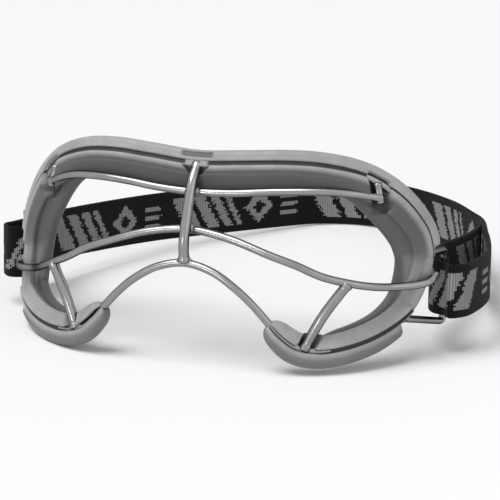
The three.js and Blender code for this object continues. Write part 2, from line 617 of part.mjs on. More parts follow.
// The slider: two outer bars in front of the webbing, one behind it, and a rail past each edge.
function addSlider() {
  const gap = STRAP_THICKNESS / 2 + SLIDER_GAP;
  const height = STRAP_WIDTH + 2 * (SLIDER_GAP + SLIDER_RAIL);
  const pitch = SLIDER_SLOT + SLIDER_BAR;
  const level = gap + SLIDER_BAR_THICKNESS / 2;
  const length = 2 * pitch + SLIDER_BAR;
  const base = -(SLIDER_GAP + SLIDER_RAIL);
  const bars = [[-pitch, level], [0, -level], [pitch, level]].map(([x, y]) =>
    roundedBar(SLIDER_BAR, SLIDER_BAR_THICKNESS, height).translate(x, y, base));
  const rails = [base, STRAP_WIDTH + SLIDER_GAP].map((z) =>
    roundedBar(length, 2 * (gap + SLIDER_BAR_THICKNESS), SLIDER_RAIL).translate(0, 0, z));
  const [first, ...others] = [...bars, ...rails].map(toSolid);
  const body = others.reduce((whole, next) => whole.add(next), first);
  addPart("strap_slider", toGeometry(body).applyMatrix4(onSliderRun()), plastic, strapGroup);
}

// A bar tack: one thread that zigzags up the webbing.
function bartack() {
  const step = STITCH_LENGTH / STITCH_TURNS;
  const half = STITCH_THREAD / 2;
  const swing = (turn) => (turn % 2 ? 1 : -1) * (STITCH_WIDTH / 2);
  const near = [];
  const far = [];
  for (let turn = 0; turn <= STITCH_TURNS; turn++) {
    near.push(new THREE.Vector2(swing(turn) - half, turn * step));
    far.push(new THREE.Vector2(swing(turn) + half, turn * step));
  }
  const shape = new THREE.Shape([...near, ...far.reverse()]);
  return new THREE.ExtrudeGeometry(shape, { depth: STITCH_THREAD, bevelEnabled: false });
}

// Sews a tack to one face of the webbing, at the place of its path nearest to one beside a loop.
function addTack(name, side, place) {
  const target = besideLoop(side, place);
  const count = STRAP_STEPS * SCAN_SAMPLES;
  const distance = (i) => strapCurve.getPointAt(i / count).distanceTo(target);
  const nearest = [...Array(count).keys()].reduce((best, i) => (distance(i) < distance(best) ? i : best));
  const along = strapCurve.getTangentAt(nearest / count);
  const outward = new THREE.Vector3(-along.y, along.x, 0);
  const up = new THREE.Vector3(0, 0, 1);
  const origin = strapCurve.getPointAt(nearest / count);
  origin.addScaledVector(outward, STRAP_THICKNESS / 2 + WELD_GAP);
  origin.z = (STRAP_WIDTH - STITCH_LENGTH) / 2;
  const matrix = new THREE.Matrix4().makeBasis(up.clone().cross(outward), up, outward).setPosition(origin);
  addPart(name, bartack().applyMatrix4(matrix), thread, strapGroup);
}

addRim();
addBrow();
addEyeBar();
addCentrePost();
addCheekStruts();
addStrapLoops();
addGasket();
addStrap();
addSlider();
addTack("bar_tack_left", -1, LEFT_TACK_SHARE);
addTack("bar_tack_right", 1, RIGHT_TACK_SHARE);

// The part's frame stands on the table under the middle of its bounding box.
const bounds = new THREE.Box3().setFromObject(goggles, true);
const middle = bounds.getCenter(new THREE.Vector3());
goggles.position.set(-middle.x, -middle.y, -bounds.min.z);

export default goggles;
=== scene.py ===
# %% [markdown]
# # Wire lacrosse goggles
# A pair of goggles is a cage of welded wire, a soft gasket pressed over the cage's rim, and an
# elastic strap. The CAD model gives their sizes and joints. This script dresses them: it draws the
# wires round and smooth, gives the gasket its lips, notches and fin, weaves the strap, and sets up
# a plain studio. Every length is in millimetres until it becomes a mesh, which is in metres.

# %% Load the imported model
import math
from functools import partial

import bpy
import mathutils
import numpy as np
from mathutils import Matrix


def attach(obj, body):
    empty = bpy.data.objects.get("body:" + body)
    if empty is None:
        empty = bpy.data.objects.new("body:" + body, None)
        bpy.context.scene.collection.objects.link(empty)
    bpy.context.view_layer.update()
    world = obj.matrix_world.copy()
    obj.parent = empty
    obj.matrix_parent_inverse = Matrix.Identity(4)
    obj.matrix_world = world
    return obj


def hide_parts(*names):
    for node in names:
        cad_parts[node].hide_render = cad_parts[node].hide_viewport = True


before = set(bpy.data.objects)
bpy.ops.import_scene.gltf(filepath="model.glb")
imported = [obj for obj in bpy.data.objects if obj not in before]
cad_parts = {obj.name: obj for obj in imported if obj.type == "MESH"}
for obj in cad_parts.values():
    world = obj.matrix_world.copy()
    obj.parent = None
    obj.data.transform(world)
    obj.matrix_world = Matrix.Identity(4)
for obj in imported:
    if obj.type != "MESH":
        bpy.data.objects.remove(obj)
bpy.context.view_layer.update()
print("nodes:", sorted(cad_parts))

# %% [markdown]
# ## Where things are
# The drawing has its own zero: the centre plane, the front of the cheeks and the foot of the
# gasket's outline. The CAD model stands on the middle of its bounding box, so one shift joins the
# two. The sizes are the CAD model's, because each dressed piece lies where its plain one does.

# %% Sizes of the object in millimetres
MM = 0.001
CAD_SHIFT = np.array((-1.255, -102.246, -1.097))
HALF_WIDTH, FRAME_HEIGHT, WRAP_DEPTH = 90.0, 88.0, 45.0
FRONT_Y, LEAN_START, LEAN_RISE, LEAN_DEPTH = -8.5, 34.0, 47.3, 18.7
LEAN_POWER, WRAP_POWER = 1.5, 3.6
TEMPLE_SPRING, TEMPLE_RACK, RACK_SHARES = 6.0, 2.6, (0.22, 0.42)
RIM_RADIUS, STRUT_RADIUS, BROW_STRUT_RADIUS, LOOP_RADIUS = 1.6, 2.1, 1.8, 1.5
WELD_GAP = 0.4
print("frame:", 2 * HALF_WIDTH, "x", WRAP_DEPTH, "x", FRAME_HEIGHT, "mm")

# %% [markdown]
# ## The mask surface
# All wires of such a cage are bent over one former, so they lie on one curved surface, which wraps
# back at the temples and leans back at the brow. A formula for its depth keeps them all on it. The
# photographed frame is also sprung: its right temple lies a little high and its left one low.


# %% The mask surface
def smooth(value, start, end):
    """Smooth rise from 0 at start to 1 at end: 3 t squared minus 2 t cubed."""
    t = np.clip((np.asarray(value, float) - start) / (end - start), 0, 1)
    return t * t * (3 - 2 * t)


def mask_depth(x, z):
    """Depth = front + lean share to the power 1.5 + wrap share to the power 3.6."""
    lean = np.maximum(np.asarray(z) - LEAN_START, 0.0) / LEAN_RISE
    wrap = np.abs(x) / HALF_WIDTH
    return FRONT_Y + LEAN_DEPTH * lean**LEAN_POWER + WRAP_DEPTH * wrap**WRAP_POWER


def mask_normal(x, z, step=HALF_WIDTH * 0.001):
    """Unit normal towards the face, from the slopes across and up."""
    slope_x = (mask_depth(x + step, z) - mask_depth(x - step, z)) / (2 * step)
    slope_z = (mask_depth(x, z + step) - mask_depth(x, z - step)) / (2 * step)
    return unit(np.stack([-slope_x, np.ones_like(slope_x), -slope_z], -1))


def unit(v):
    """Vectors of length 1: each divided by its own length."""
    return np.asarray(v, float) / np.linalg.norm(v, axis=-1, keepdims=True)


def mask_point(x_share, z_share, behind=0.0):
    """A place of the front view, carried on to the mask surface and then sprung."""
    x_share, z_share = np.asarray(x_share, float), np.asarray(z_share, float)
    x, z = x_share * HALF_WIDTH, z_share * FRAME_HEIGHT
    point = np.stack([x, mask_depth(x, z), z], -1) + mask_normal(x, z) * behind
    point[..., 2] += TEMPLE_SPRING * x_share * np.abs(x_share) ** (WRAP_POWER - 1)
    point[..., 0] += TEMPLE_RACK * x_share**2 * smooth(z_share, *RACK_SHARES)
    return point


print("brow, temple and cheek:", mask_point([0, 0.97, 0.6], [0.92, 0.45, 0.1]).round(1).tolist())

# %% [markdown]
# ## Curves
# A wire is bent through a few chosen points. A centripetal spline joins them without kinks or
# loops, and is then cut into equal steps of length, so that every ring of a skin has the same
# spacing and a pattern along the wire isn't stretched.


# %% Splines through chosen points
WIRE_STEP = 0.5  # millimetres between the rings of a wire


def spline(points, closed=False, per_span=40):
    """Centripetal Catmull-Rom: the time of a span is the square root of its length. The speed at a
    point blends the speeds of the spans that meet there, and each span is one cubic in t."""
    p = np.asarray(points, float)
    ends = (p[-1:], p[:2]) if closed else (2 * p[:1] - p[1:2], 2 * p[-1:] - p[-2:-1])
    p = np.concatenate([ends[0], p, ends[1]])
    time = np.sqrt(np.linalg.norm(np.diff(p, axis=0), axis=1, keepdims=True))
    speed = np.diff(p, axis=0) / time
    blended = speed[:-1] - (p[2:] - p[:-2]) / (time[:-1] + time[1:]) + speed[1:]
    start, stop = p[1:-2, None], p[2:-1, None]
    leave, arrive = (blended[:-1] * time[1:-1])[:, None], (blended[1:] * time[1:-1])[:, None]
    t = np.linspace(0, 1, per_span, endpoint=False)[None, :, None]
    cubic = start + leave * t + (3 * (stop - start) - 2 * leave - arrive) * t**2
    cubic = cubic + (2 * (start - stop) + leave + arrive) * t**3
    return np.concatenate([cubic.reshape(-1, p.shape[1]), p[1:2] if closed else p[-2:-1]])


def lengths(path):
    """Distance along a path to each of its points."""
    return np.concatenate([[0.0], np.cumsum(np.linalg.norm(np.diff(path, axis=0), axis=1))])


def even(path, step=WIRE_STEP):
    """The same path in equal steps of about that length."""
    run = lengths(path)
    wanted = np.linspace(0, run[-1], max(2, int(round(run[-1] / step)) + 1))
    return np.stack([np.interp(wanted, run, axis) for axis in path.T], -1)


def directions(path, closed=False):
    """Unit direction of travel at each point, from its two neighbours."""
    return unit(np.roll(path, -1, 0) - np.roll(path, 1, 0) if closed else np.gradient(path, axis=0))


test_arc = spline([(0, 0, 0), (5, 2, 0), (10, 0, 0)])
print("a test arc has length", round(float(lengths(test_arc)[-1]), 2))

# %% [markdown]
# ## Skins
# Nearly every piece is a row of rings joined into a skin. Each ring is a loop of points, and the
# row may close into a ring itself, or be capped at both ends by a fan. One function for this keeps
# all seams and poles closed and all faces outwards. It can also write a place in metres (UV) for
# each corner, and plain numbers for each point or face, which a material can read.


# %% From rings of points to a mesh
def add_object(name, data):
    """A new object in the scene, with that mesh, lamp or camera."""
    added = bpy.data.objects.new(name, data)
    bpy.context.scene.collection.objects.link(added)
    return added


def skin(name, rings, uv=None, loop=False, marks=()):
    """Joins rings (stations x points x 3) by quads. uv is (stations, points + 1, 2), one station
    more for a loop. marks are (label, domain, values), one value for each point or quad."""
    stations, count = rings.shape[:2]
    s = np.arange(stations if loop else stations - 1)[:, None]
    k = np.arange(count)[None, :]
    s_next, k_next = (s + 1) % stations, (k + 1) % count
    here, there = s * count, s_next * count
    quads = np.stack([here + k, here + k_next, there + k_next, there + k], -1)
    points, fans = rings.reshape(-1, 3), np.zeros((0, 3), int)
    if not loop:
        last, hub = (stations - 1) * count, stations * count
        points = np.concatenate([points, rings[[0, -1]].mean(1)])
        fans = np.concatenate([np.stack([k_next[0], k[0], 0 * k[0] + hub], -1),
                               np.stack([last + k[0], last + k_next[0], 0 * k[0] + hub + 1], -1)])
    mesh = bpy.data.meshes.new(name)
    faces = quads.reshape(-1, 4).tolist() + fans.tolist()
    mesh.from_pydata(((points + CAD_SHIFT) * MM).tolist(), [], faces)
    mesh.polygons.foreach_set("use_smooth", np.ones(len(mesh.polygons), dtype=bool))
    if uv is not None:
        corners = np.stack([uv[s, k], uv[s, k + 1], uv[s + 1, k + 1], uv[s + 1, k]], 2) * MM
        flat = np.concatenate([corners.reshape(-1, 2), np.zeros((fans.size, 2))])
        mesh.uv_layers.new(name="along_and_across").data.foreach_set("uv", flat.ravel())
    for label, domain, values in marks:
        layer = mesh.attributes.new(label, "FLOAT", domain).data
        values = np.append(values.ravel(), np.zeros(fans.size))
        layer.foreach_set("value", np.resize(values, len(layer)))
    mesh.update()
    return add_object(name, mesh)


# %% [markdown]
# A wire is a circle carried along a path. Its frame comes from one fixed direction that the path
# never runs along, which needs no walk from point to point. Where a wire is welded, the melted
# steel climbs up it as a fillet, so its end swells, and a cut end is ground to a slight dome.

# %% Round wire
CUT_DOME = 0.55  # height of a ground end, in radii
CUT_END = np.array([(1.0, 0.3), (0.75, 0.72), (0.35, 0.95)])  # shares of its height and width


def tube(name, path, radius, across, sides=20, loop=False, fillets=()):
    """Ring = path + radius (side cos a + other sin a), with side = direction x across. fillets are
    (end, growth, reach): the radius gains growth times exp(-(distance / reach) squared)."""
    path = np.asarray(path, float)[: -1 if loop else None]
    run = lengths(path)
    swell = np.full(len(path), float(radius))
    for end, growth, reach in fillets:
        swell += growth * np.exp(-((np.abs(run - end * run[-1]) / reach) ** 2))
    if not loop:
        out = unit(path[[0, -1]] - path[[1, -2]]) * radius * CUT_DOME
        first, last = path[:1] + out[:1] * CUT_END[:, :1], path[-1:] + out[1:] * CUT_END[::-1, :1]
        path = np.concatenate([first, path, last])
        swell = np.concatenate([swell[0] * CUT_END[:, 1], swell, swell[-1] * CUT_END[::-1, 1]])
        run = lengths(path)
    ahead = directions(path, loop)
    side = unit(np.cross(ahead, across))
    angle = np.linspace(0, 2 * math.pi, sides, endpoint=False)[None, :, None]
    ring = side[:, None] * np.cos(angle) + np.cross(ahead, side)[:, None] * np.sin(angle)
    run = np.append(run, run[-1] + np.linalg.norm(path[0] - path[-1])) if loop else run
    around = np.linspace(0, 2 * math.pi * radius, sides + 1)
    uv = np.stack(np.meshgrid(run, around, indexing="ij"), -1)
    return skin(name, path[:, None] + ring * swell[:, None, None], uv, loop)


def finish_piece(piece, material, body, *nodes):
    """Gives a piece its material and its body, and hides the CAD nodes that it stands for."""
    piece.data.materials.append(material)
    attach(piece, body)
    if nodes:
        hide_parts(*nodes)
    print(piece.name, len(piece.data.vertices), "points")


# %% [markdown]
# ## Materials
# Each finish is a small node tree. Colours are the hex values that a screen shows, and one function
# turns them into linear light. Another adds any node, fills its inputs and returns one of its
# outputs, so a tree reads from top to bottom like a recipe.

# %% Colour and nodes
NOISE, MATHS, RANGE, MIX, WAVE = "TexNoise", "Math", "MapRange", "Mix", "TexWave"
WAVE_SCALE = math.pi / 10  # a wave texture repeats every (pi / 10) / scale
A, B = 6, 7  # the colour inputs of a mix node, which come after its other kinds
IN_COLOUR = {"out": 2, "data_type": "RGBA"}  # its colour output, and the option that uses it
FROM_MIN, FROM_MAX, TO_MIN, TO_MAX = 1, 2, 3, 4  # the inputs of a map range node


def linear(code):
    """sRGB hex to linear light: (c + 0.055) / 1.055 to the power 2.4, or c / 12.92 when dark."""
    c = [int(code[i:i + 2], 16) / 255 for i in (0, 2, 4)]
    return tuple(v / 12.92 if v <= 0.04045 else ((v + 0.055) / 1.055) ** 2.4 for v in c) + (1.0,)


def add_node(tree, kind, inputs, out=0, **options):
    """Adds one node with its options, fills or links its inputs and returns one of its outputs."""
    node = tree.nodes.new("ShaderNode" + kind)
    for option, value in options.items():
        setattr(node, option, value)
    fill(node, inputs)
    return node.outputs[out] if node.outputs else node


def marks_of(size):
    """Texture scale for marks of that many millimetres: one over the size in metres."""
    return 1 / (size * MM)


def fill(node, inputs):
    """Links an input to another node's output, or sets it. A text is a colour's hex code."""
    for slot, value in inputs.items():
        if isinstance(value, bpy.types.NodeSocket):
            node.id_data.links.new(value, node.inputs[slot])
        else:
            node.inputs[slot].default_value = linear(value) if isinstance(value, str) else value


def new_material(name):
    """An empty material, its Principled shader, and the node function bound to its tree."""
    material = bpy.data.materials.new(name)
    material.use_nodes = True
    tree = material.node_tree
    return material, tree.nodes["Principled BSDF"], partial(add_node, tree)


print("mid grey in linear light:", round(linear("808080")[0], 3))

# %% [markdown]
# The cage is plain steel wire, drawn through a die and polished. Drawing leaves fine streaks along
# the wire and a satin sheen between mirror and brushed. Noise that is stretched thirty times along
# the wire gives the streaks, and clouds of a few millimetres stand for handling. A metal's edge
# reflects the dark side of a room more than its front does, which the darker specular tint gives.

# %% Bright drawn steel wire
STREAK, CLOUD, SCRATCH = 0.35, 7.0, 0.5  # sizes of the marks in millimetres
STREAK_STRETCH, SCRATCH_STRETCH, SCRATCH_SLANT = 0.03, 0.35, 0.5

# Roughness 0.16 to 0.3, as polished drawn steel has, by streaks along the wire.
steel, shader, add = new_material("bright_drawn_steel")
place = add("UVMap", {})
body = add("TexCoord", {}, out="Object")
along = add("Mapping", {"Vector": place, "Scale": (STREAK_STRETCH, 1, 1)})
slanted = add("Mapping", {"Vector": place, "Scale": (SCRATCH_STRETCH, 1, 1),
                          "Rotation": (0, 0, SCRATCH_SLANT)})
streaks = add(NOISE, {"Vector": along, "Scale": marks_of(STREAK), "Detail": 4.0})
cloud = add(NOISE, {"Vector": body, "Scale": marks_of(CLOUD), "Detail": 3.0})
marks = add(NOISE, {"Vector": slanted, "Scale": marks_of(SCRATCH), "Detail": 2.0})
scratched = add(RANGE, {0: marks, FROM_MIN: 0.68, FROM_MAX: 0.78, TO_MAX: 0.25})
tint = add(MIX, {0: cloud, A: "858585", B: "9b9b9a"}, **IN_COLOUR)
tint = add(MIX, {0: scratched, A: tint, B: "cdcdcc"}, **IN_COLOUR)
fill(shader, {
    "Base Color": tint,
    "Metallic": 1.0,
    "Roughness": add(RANGE, {0: streaks, TO_MIN: 0.16, TO_MAX: 0.3}),
    "Specular Tint": "5c5c5c",
    "Normal": add("Bump", {"Height": streaks, "Distance": 0.012 * MM}),
})

# %% [markdown]
# A weld is steel that melted and froze. It has ripples across the joint, a duller skin and, where
# the heat was highest, a faint straw colour.

# %% Weld steel
RIPPLE, STRAW = 0.8, 2.5

# Rippled, roughness 0.26 to 0.46, between plain steel and faint straw.
bead_steel, shader, add = new_material("weld_bead_steel")
body = add("TexCoord", {}, out="Object")
ripple = add(NOISE, {"Vector": body, "Scale": marks_of(RIPPLE), "Detail": 2.0})
straw = add(NOISE, {"Vector": body, "Scale": marks_of(STRAW), "Detail": 2.0})
straw = add(RANGE, {0: straw, FROM_MIN: 0.4, FROM_MAX: 0.65})
tint = add(MIX, {0: straw, A: "888888", B: "949088"}, **IN_COLOUR)
fill(shader, {
    "Base Color": tint,
    "Metallic": 1.0,
    "Roughness": add(RANGE, {0: ripple, TO_MIN: 0.26, TO_MAX: 0.46}),
    "Specular Tint": "5c5c5c",
    "Normal": add("Bump", {"Height": ripple, "Distance": 0.12 * MM}),
})

# %% [markdown]
# The gasket is moulded silicone: soft grey, slightly clouded, with a matte skin that holds a trace
# of dust and goes darker where hands have rubbed it. Light enters it a little, so a small share of
# subsurface scattering softens its edges. Shade is painted into the deep slit over the wire, and a
# number written on the mesh says where. Another number says where shade is painted on the skin: on
# the strip and the fin, which touch the face and turn away from the light from above, and on the
# cheek pads' lower lips.

# %% Satin silicone
CLOUDING, RUBBED, DUST, GRAIN, WAVINESS = 16.0, 5.0, 0.7, 0.28, 4.0

# Neutral grey, roughness 0.46 to 0.62, with rubbed places, dust, and painted shade on the strip,
# fin and pad lips and in the slit.
silicone, shader, add = new_material("satin_grey_silicone")
body = add("TexCoord", {}, out="Object")
cloud, dust, rubbed, grain, waves = (
    add(NOISE, {"Vector": body, "Scale": marks_of(size), "Detail": detail})
    for size, detail in ((CLOUDING, 3), (DUST, 2), (RUBBED, 5), (GRAIN, 2), (WAVINESS, 3)))
dust = add(RANGE, {0: dust, FROM_MIN: 0.66, FROM_MAX: 0.74, TO_MAX: 0.16})
rubbed = add(RANGE, {0: rubbed, FROM_MIN: 0.42, FROM_MAX: 0.75})
part = add(MATHS, {0: rubbed, 1: 0.5}, operation="MULTIPLY")
# Painted shade in the slit, the recess and the notches' floors, read from the mesh; its colour is
# 3a393a.
slit_shade_mask = add("Attribute", {}, out="Fac", attribute_name="painted_shade_in_slit")
# Painted shade on the strip, the fin and the cheek pads' lips, which turn away from the light from
# above; its colour is 5b595a.
painted_shade_on_strip = add("Attribute", {}, out="Fac", attribute_name="painted_shade_on_strip")
shades, tint = add(RANGE, {0: cloud, FROM_MIN: 0.35, FROM_MAX: 0.65}), "9b999a"
for mark, colour in ((shades, "a8a6a7"), (part, "8f8d8e"), (painted_shade_on_strip, "5b595a"), (dust, "cbc9c9"),
                     (slit_shade_mask, "3a393a")):
    tint = add(MIX, {0: mark, A: tint, B: colour}, **IN_COLOUR)
fine = add("Bump", {"Height": grain, "Distance": 0.03 * MM})
fill(shader, {
    "Base Color": tint,
    "Roughness": add(RANGE, {0: rubbed, TO_MIN: 0.46, TO_MAX: 0.62}),
    "Subsurface Weight": 0.06,
    "Subsurface Scale": 2.0 * MM,
    "Subsurface Radius": (1.0, 0.95, 0.95),
    "IOR": 1.41,
    "Normal": add("Bump", {"Height": waves, "Distance": 0.12 * MM, "Normal": fine}),
})

# %% [markdown]
# The strap is jacquard elastic. Its ground is black and ribbed across, with fine cords along it,
# and a grey yarn comes to the surface in a plain geometric pattern. The pattern is written on the
# mesh, one yes or no for each cell of the weave, so that its edges step as those of a real weave
# do. The ribs and cords are wave textures in metres along and across the webbing.

# %% Woven elastic
RIB, CORD, FUZZ = 0.9, 1.3, 0.5

# Black yarn with ribs every 0.9 mm and cords every 1.3 mm; grey yarn lies a little higher.
elastic, shader, add = new_material("black_woven_elastic")
place = add("UVMap", {})
body = add("TexCoord", {}, out="Object")
ribs = add(WAVE, {"Vector": place, "Scale": WAVE_SCALE / (RIB * MM)}, out=1, bands_direction="X")
cords = add(WAVE, {"Vector": place, "Scale": WAVE_SCALE / (CORD * MM)}, out=1, bands_direction="Y")
fuzz = add(NOISE, {"Vector": body, "Scale": marks_of(FUZZ), "Detail": 3.0})
loose = add(RANGE, {0: fuzz, FROM_MIN: 0.5, FROM_MAX: 0.8, TO_MAX: 0.12})
grey = add("Attribute", {}, out="Fac", attribute_name="grey_yarn")
# Both yarns are painted lighter on the ribs' tops and darker in the valleys between them: painted
# shade of the ribs, beside their bump.
ground, yarn = (
    add(MIX, {0: ribs, A: low, B: high}, **IN_COLOUR)
    for low, high in (("060607", "151516"), ("6f6f72", "9c9c9f")))
colour = add(MIX, {0: grey, A: ground, B: yarn}, **IN_COLOUR)
colour = add(MIX, {0: loose, A: colour, B: "3a3a3c"}, **IN_COLOUR)
weave = add(MATHS, {0: cords, 1: 0.4, 2: ribs}, operation="MULTIPLY_ADD")
raised = add(MATHS, {0: grey, 1: 0.5, 2: weave}, operation="MULTIPLY_ADD")
first = add("Bump", {"Height": raised, "Distance": 0.16 * MM})
fill(shader, {
    "Base Color": colour,
    "Roughness": 0.9,
    "Specular IOR Level": 0.15,
    "Sheen Weight": 0.03,
    "Sheen Roughness": 0.5,
    "Normal": add("Bump", {"Height": fuzz, "Distance": 0.08 * MM, "Normal": first}),
})

# %% [markdown]
# The slider is moulded acetal, nearly smooth and rubbed lighter on its edges. The thread of the bar
# tacks is bonded polyester, whose twist shows as slanted ridges.

# %% Moulded plastic and thread
RUB, MOULD_GRAIN, TWIST, TWIST_SLANT = 2.2, 0.3, 0.35, 0.55

# Black acetal, roughness 0.3 to 0.5, with lighter rubbed patches.
plastic, shader, add = new_material("black_moulded_acetal")
body = add("TexCoord", {}, out="Object")
rub = add(NOISE, {"Vector": body, "Scale": marks_of(RUB), "Detail": 4.0})
rub = add(RANGE, {0: rub, FROM_MIN: 0.5, FROM_MAX: 0.72})
part = add(MATHS, {0: rub, 1: 0.35}, operation="MULTIPLY")
grain = add(NOISE, {"Vector": body, "Scale": marks_of(MOULD_GRAIN), "Detail": 2.0})
tint = add(MIX, {0: part, A: "131314", B: "2e2e30"}, **IN_COLOUR)
fill(shader, {
    "Base Color": tint,
    "Roughness": add(RANGE, {0: rub, TO_MIN: 0.3, TO_MAX: 0.5}),
    "IOR": 1.48,
    "Normal": add("Bump", {"Height": grain, "Distance": 0.02 * MM}),
})

# Black polyester thread with its twist as slanted ridges every 0.35 mm.
thread, shader, add = new_material("black_bonded_thread")
place = add("UVMap", {})
turned = add("Mapping", {"Vector": place, "Rotation": (0, 0, TWIST_SLANT)})
twist = add(WAVE, {"Vector": turned, "Scale": WAVE_SCALE / (TWIST * MM)}, out=1)
# The twist's ridges are painted lighter and the grooves between them darker: painted shade of the
# twist, beside its bump.
tint = add(MIX, {0: twist, A: "0c0c0d", B: "262628"}, **IN_COLOUR)
fill(shader, {
    "Base Color": tint,
    "Roughness": 0.6,
    "Normal": add("Bump", {"Height": twist, "Distance": 0.08 * MM}),
})

print("materials:", [m.name for m in (steel, bead_steel, silicone, elastic, plastic, thread)])

# %% [markdown]
# ## The cage
# The cage is one closed rim with bars and struts welded to it. The outlines are shares of the half
# width and of the height, from the centre plane outwards, as read off a front view. The mask
# surface gives their depth.

# %% Outlines of the wires
RIM = [
    (0, 0.92), (0.22, 0.934), (0.4, 0.943), (0.555, 0.931), (0.69, 0.888), (0.78, 0.829),
    (0.857, 0.747), (0.918, 0.648), (0.958, 0.551), (0.976, 0.44), (0.969, 0.318), (0.936, 0.21),
    (0.848, 0.145), (0.722, 0.112), (0.6, 0.108), (0.511, 0.134), (0.444, 0.19), (0.389, 0.254),
    (0.322, 0.33), (0.244, 0.401), (0.133, 0.468), (0, 0.497),
]
BROW = [(0, 0.802), (0.178, 0.809), (0.322, 0.822), (0.478, 0.827), (0.611, 0.818), (0.7, 0.798),
        (0.793, 0.763)]
TEE = (0.708, 0.416)
EYE = [(0, 0.644), (0.122, 0.632), (0.233, 0.608), (0.378, 0.56), (0.5, 0.515), (0.606, 0.46), TEE,
       (0.789, 0.38), (0.87, 0.347), (0.962, 0.333)]
CHEEK_FOOT, BROW_STRUT_TOP = (0.545, 0.115), (0.778, 0.862)
LOOP_ROOTS = [(0.9, 0.2), (0.972, 0.452)]
SIDES = (("left", -1), ("right", 1))
INTO_FACE = np.array([0.0, 1.0, 0.0])
UP = np.array([0.0, 0.0, 1.0])
ACROSS = np.array([1.0, 0.0, 0.0])


def place(share, side=1, behind=0.0):
    """A place of an outline, on the left (-1) or the right (1)."""
    return mask_point(side * share[0], share[1], behind)


def both_sides(shares):
    """Left half reversed, then the right half."""
    right_half = np.array(shares, float)
    left_half = right_half[:0:-1] * (-1, 1)
    return mask_point(*np.concatenate([left_half, right_half]).T)


rim_shares = np.array(RIM + [(-x, z) for x, z in RIM[-2:0:-1]])
rim_path = even(spline(mask_point(*rim_shares.T), closed=True))
print("rim length in mm:", round(float(lengths(rim_path)[-1]), 1))


# %% [markdown]
# A strut ends on the wire that carries it. In the CAD model a clear gap stands for each weld; here
# the strut runs on until it sinks into the other wire, and a fillet hides the seam.

# %% Rim, brow bar and eye bar
def near_rim(point):
    """The rim's point nearest to another, and its share of the way from the brow to the nose."""
    nearest = int(np.argmin(np.linalg.norm(rim_path - point, axis=1)))
    way = nearest / (len(rim_path) - 1)
    return rim_path[nearest], 2 * min(way, 1 - way)


def meet(start, end, radius, sink=0.7):
    """A point just inside the surface of a wire, on the way from start to its axis."""
    return end + unit(start - end) * radius * sink


rim = tube("rim_of_wire", rim_path, RIM_RADIUS, INTO_FACE, loop=True)
finish_piece(rim, steel, "cage", "perimeter_wire")

struts = {}
brow_points = both_sides(BROW)
for name, side in SIDES:
    foot = place(BROW[-1], side) - UP * RIM_RADIUS
    top = near_rim(place(BROW_STRUT_TOP, side))[0]
    struts["brow_" + name] = (foot, top)
    strut_path = even(np.array([foot, meet(foot, top, RIM_RADIUS)]))
    strut = tube("brow_strut_of_wire_" + name, strut_path, BROW_STRUT_RADIUS, INTO_FACE,
                 fillets=[(1, 0.45, 1.2)])
    finish_piece(strut, steel, "cage", "brow_strut_" + name)
    brow_points[0 if side < 0 else -1] = foot + UP * RIM_RADIUS
brow_bar = tube("brow_bar_of_wire", even(spline(brow_points)), RIM_RADIUS, UP,
                fillets=[(0, 0.4, 1.4), (1, 0.4, 1.4)])
finish_piece(brow_bar, steel, "cage", "brow_bar")

HOOK_BACK, HOOK_RISE = 6.0, 1.6
clear = -2 * (RIM_RADIUS + WELD_GAP)
bends = np.array([place(EYE[-1], side, clear) for _, side in SIDES])
hooks = bends + [(side * RIM_RADIUS, HOOK_BACK, HOOK_RISE) for _, side in SIDES]
eye_points = np.concatenate([hooks[:1], bends[:1], both_sides(EYE)[1:-1], bends[1:], hooks[1:]])
eye_bar = tube("eye_bar_of_wire", even(spline(eye_points)), RIM_RADIUS, UP)
finish_piece(eye_bar, steel, "cage", "eye_bar")

# %% [markdown]
# The centre post stands on the nose wire and passes in front of both bars. The cheek struts carry
# the eye bar. Both are of thicker wire, because they take the ball's blow.

# %% Centre post and cheek struts
POST_INSET, CHEEK_BOW, CHEEK_SINK = 0.012, 1.5, 0.5
front = -(RIM_RADIUS + WELD_GAP + STRUT_RADIUS)
low, high = RIM[-1][1] + POST_INSET, RIM[0][1] - POST_INSET
post_heights = [low, (low + EYE[0][1]) / 2, EYE[0][1], BROW[0][1], (BROW[0][1] + high) / 2, high]
post_depths = front * np.array([0.25, 0.8, 0.92, 0.92, 0.78, 0.25])
post_points = np.array([mask_point(0.0, z, y) for z, y in zip(post_heights, post_depths)])
post_path = even(spline(post_points))
struts["post"] = (post_path[0], post_path[-1])
post = tube("centre_post_of_wire", post_path, STRUT_RADIUS, ACROSS, 24,
            fillets=[(0, 0.5, 1.4), (1, 0.4, 1.2)])
finish_piece(post, steel, "cage", "centre_post")
for name, side in SIDES:
    tee, foot = place(TEE, side), near_rim(place(CHEEK_FOOT, side))[0]
    bow = (tee + foot) / 2 + unit((-side, -1, 0)) * CHEEK_BOW
    struts["cheek_" + name] = (tee, foot)
    top, end = (meet(bow, weld, RIM_RADIUS, CHEEK_SINK) for weld in (tee, foot))
    strut_path = even(spline([top, bow, end]))
    strut = tube("cheek_strut_of_wire_" + name, strut_path, STRUT_RADIUS, INTO_FACE, 24,
                 fillets=[(0, 0.4, 1.2), (1, 0.5, 1.4)])
    finish_piece(strut, steel, "cage", "cheek_strut_" + name)
print("post runs", np.round(post_path[0], 1), "to", np.round(post_path[-1], 1))

# %% [markdown]
# ## Weld beads
# Where two wires cross, a bead of melted steel fills the corner on each side. A bead is a small
# round body, squeezed along the joint and rippled by two waves. At three or four millimetres it
# needs few faces.


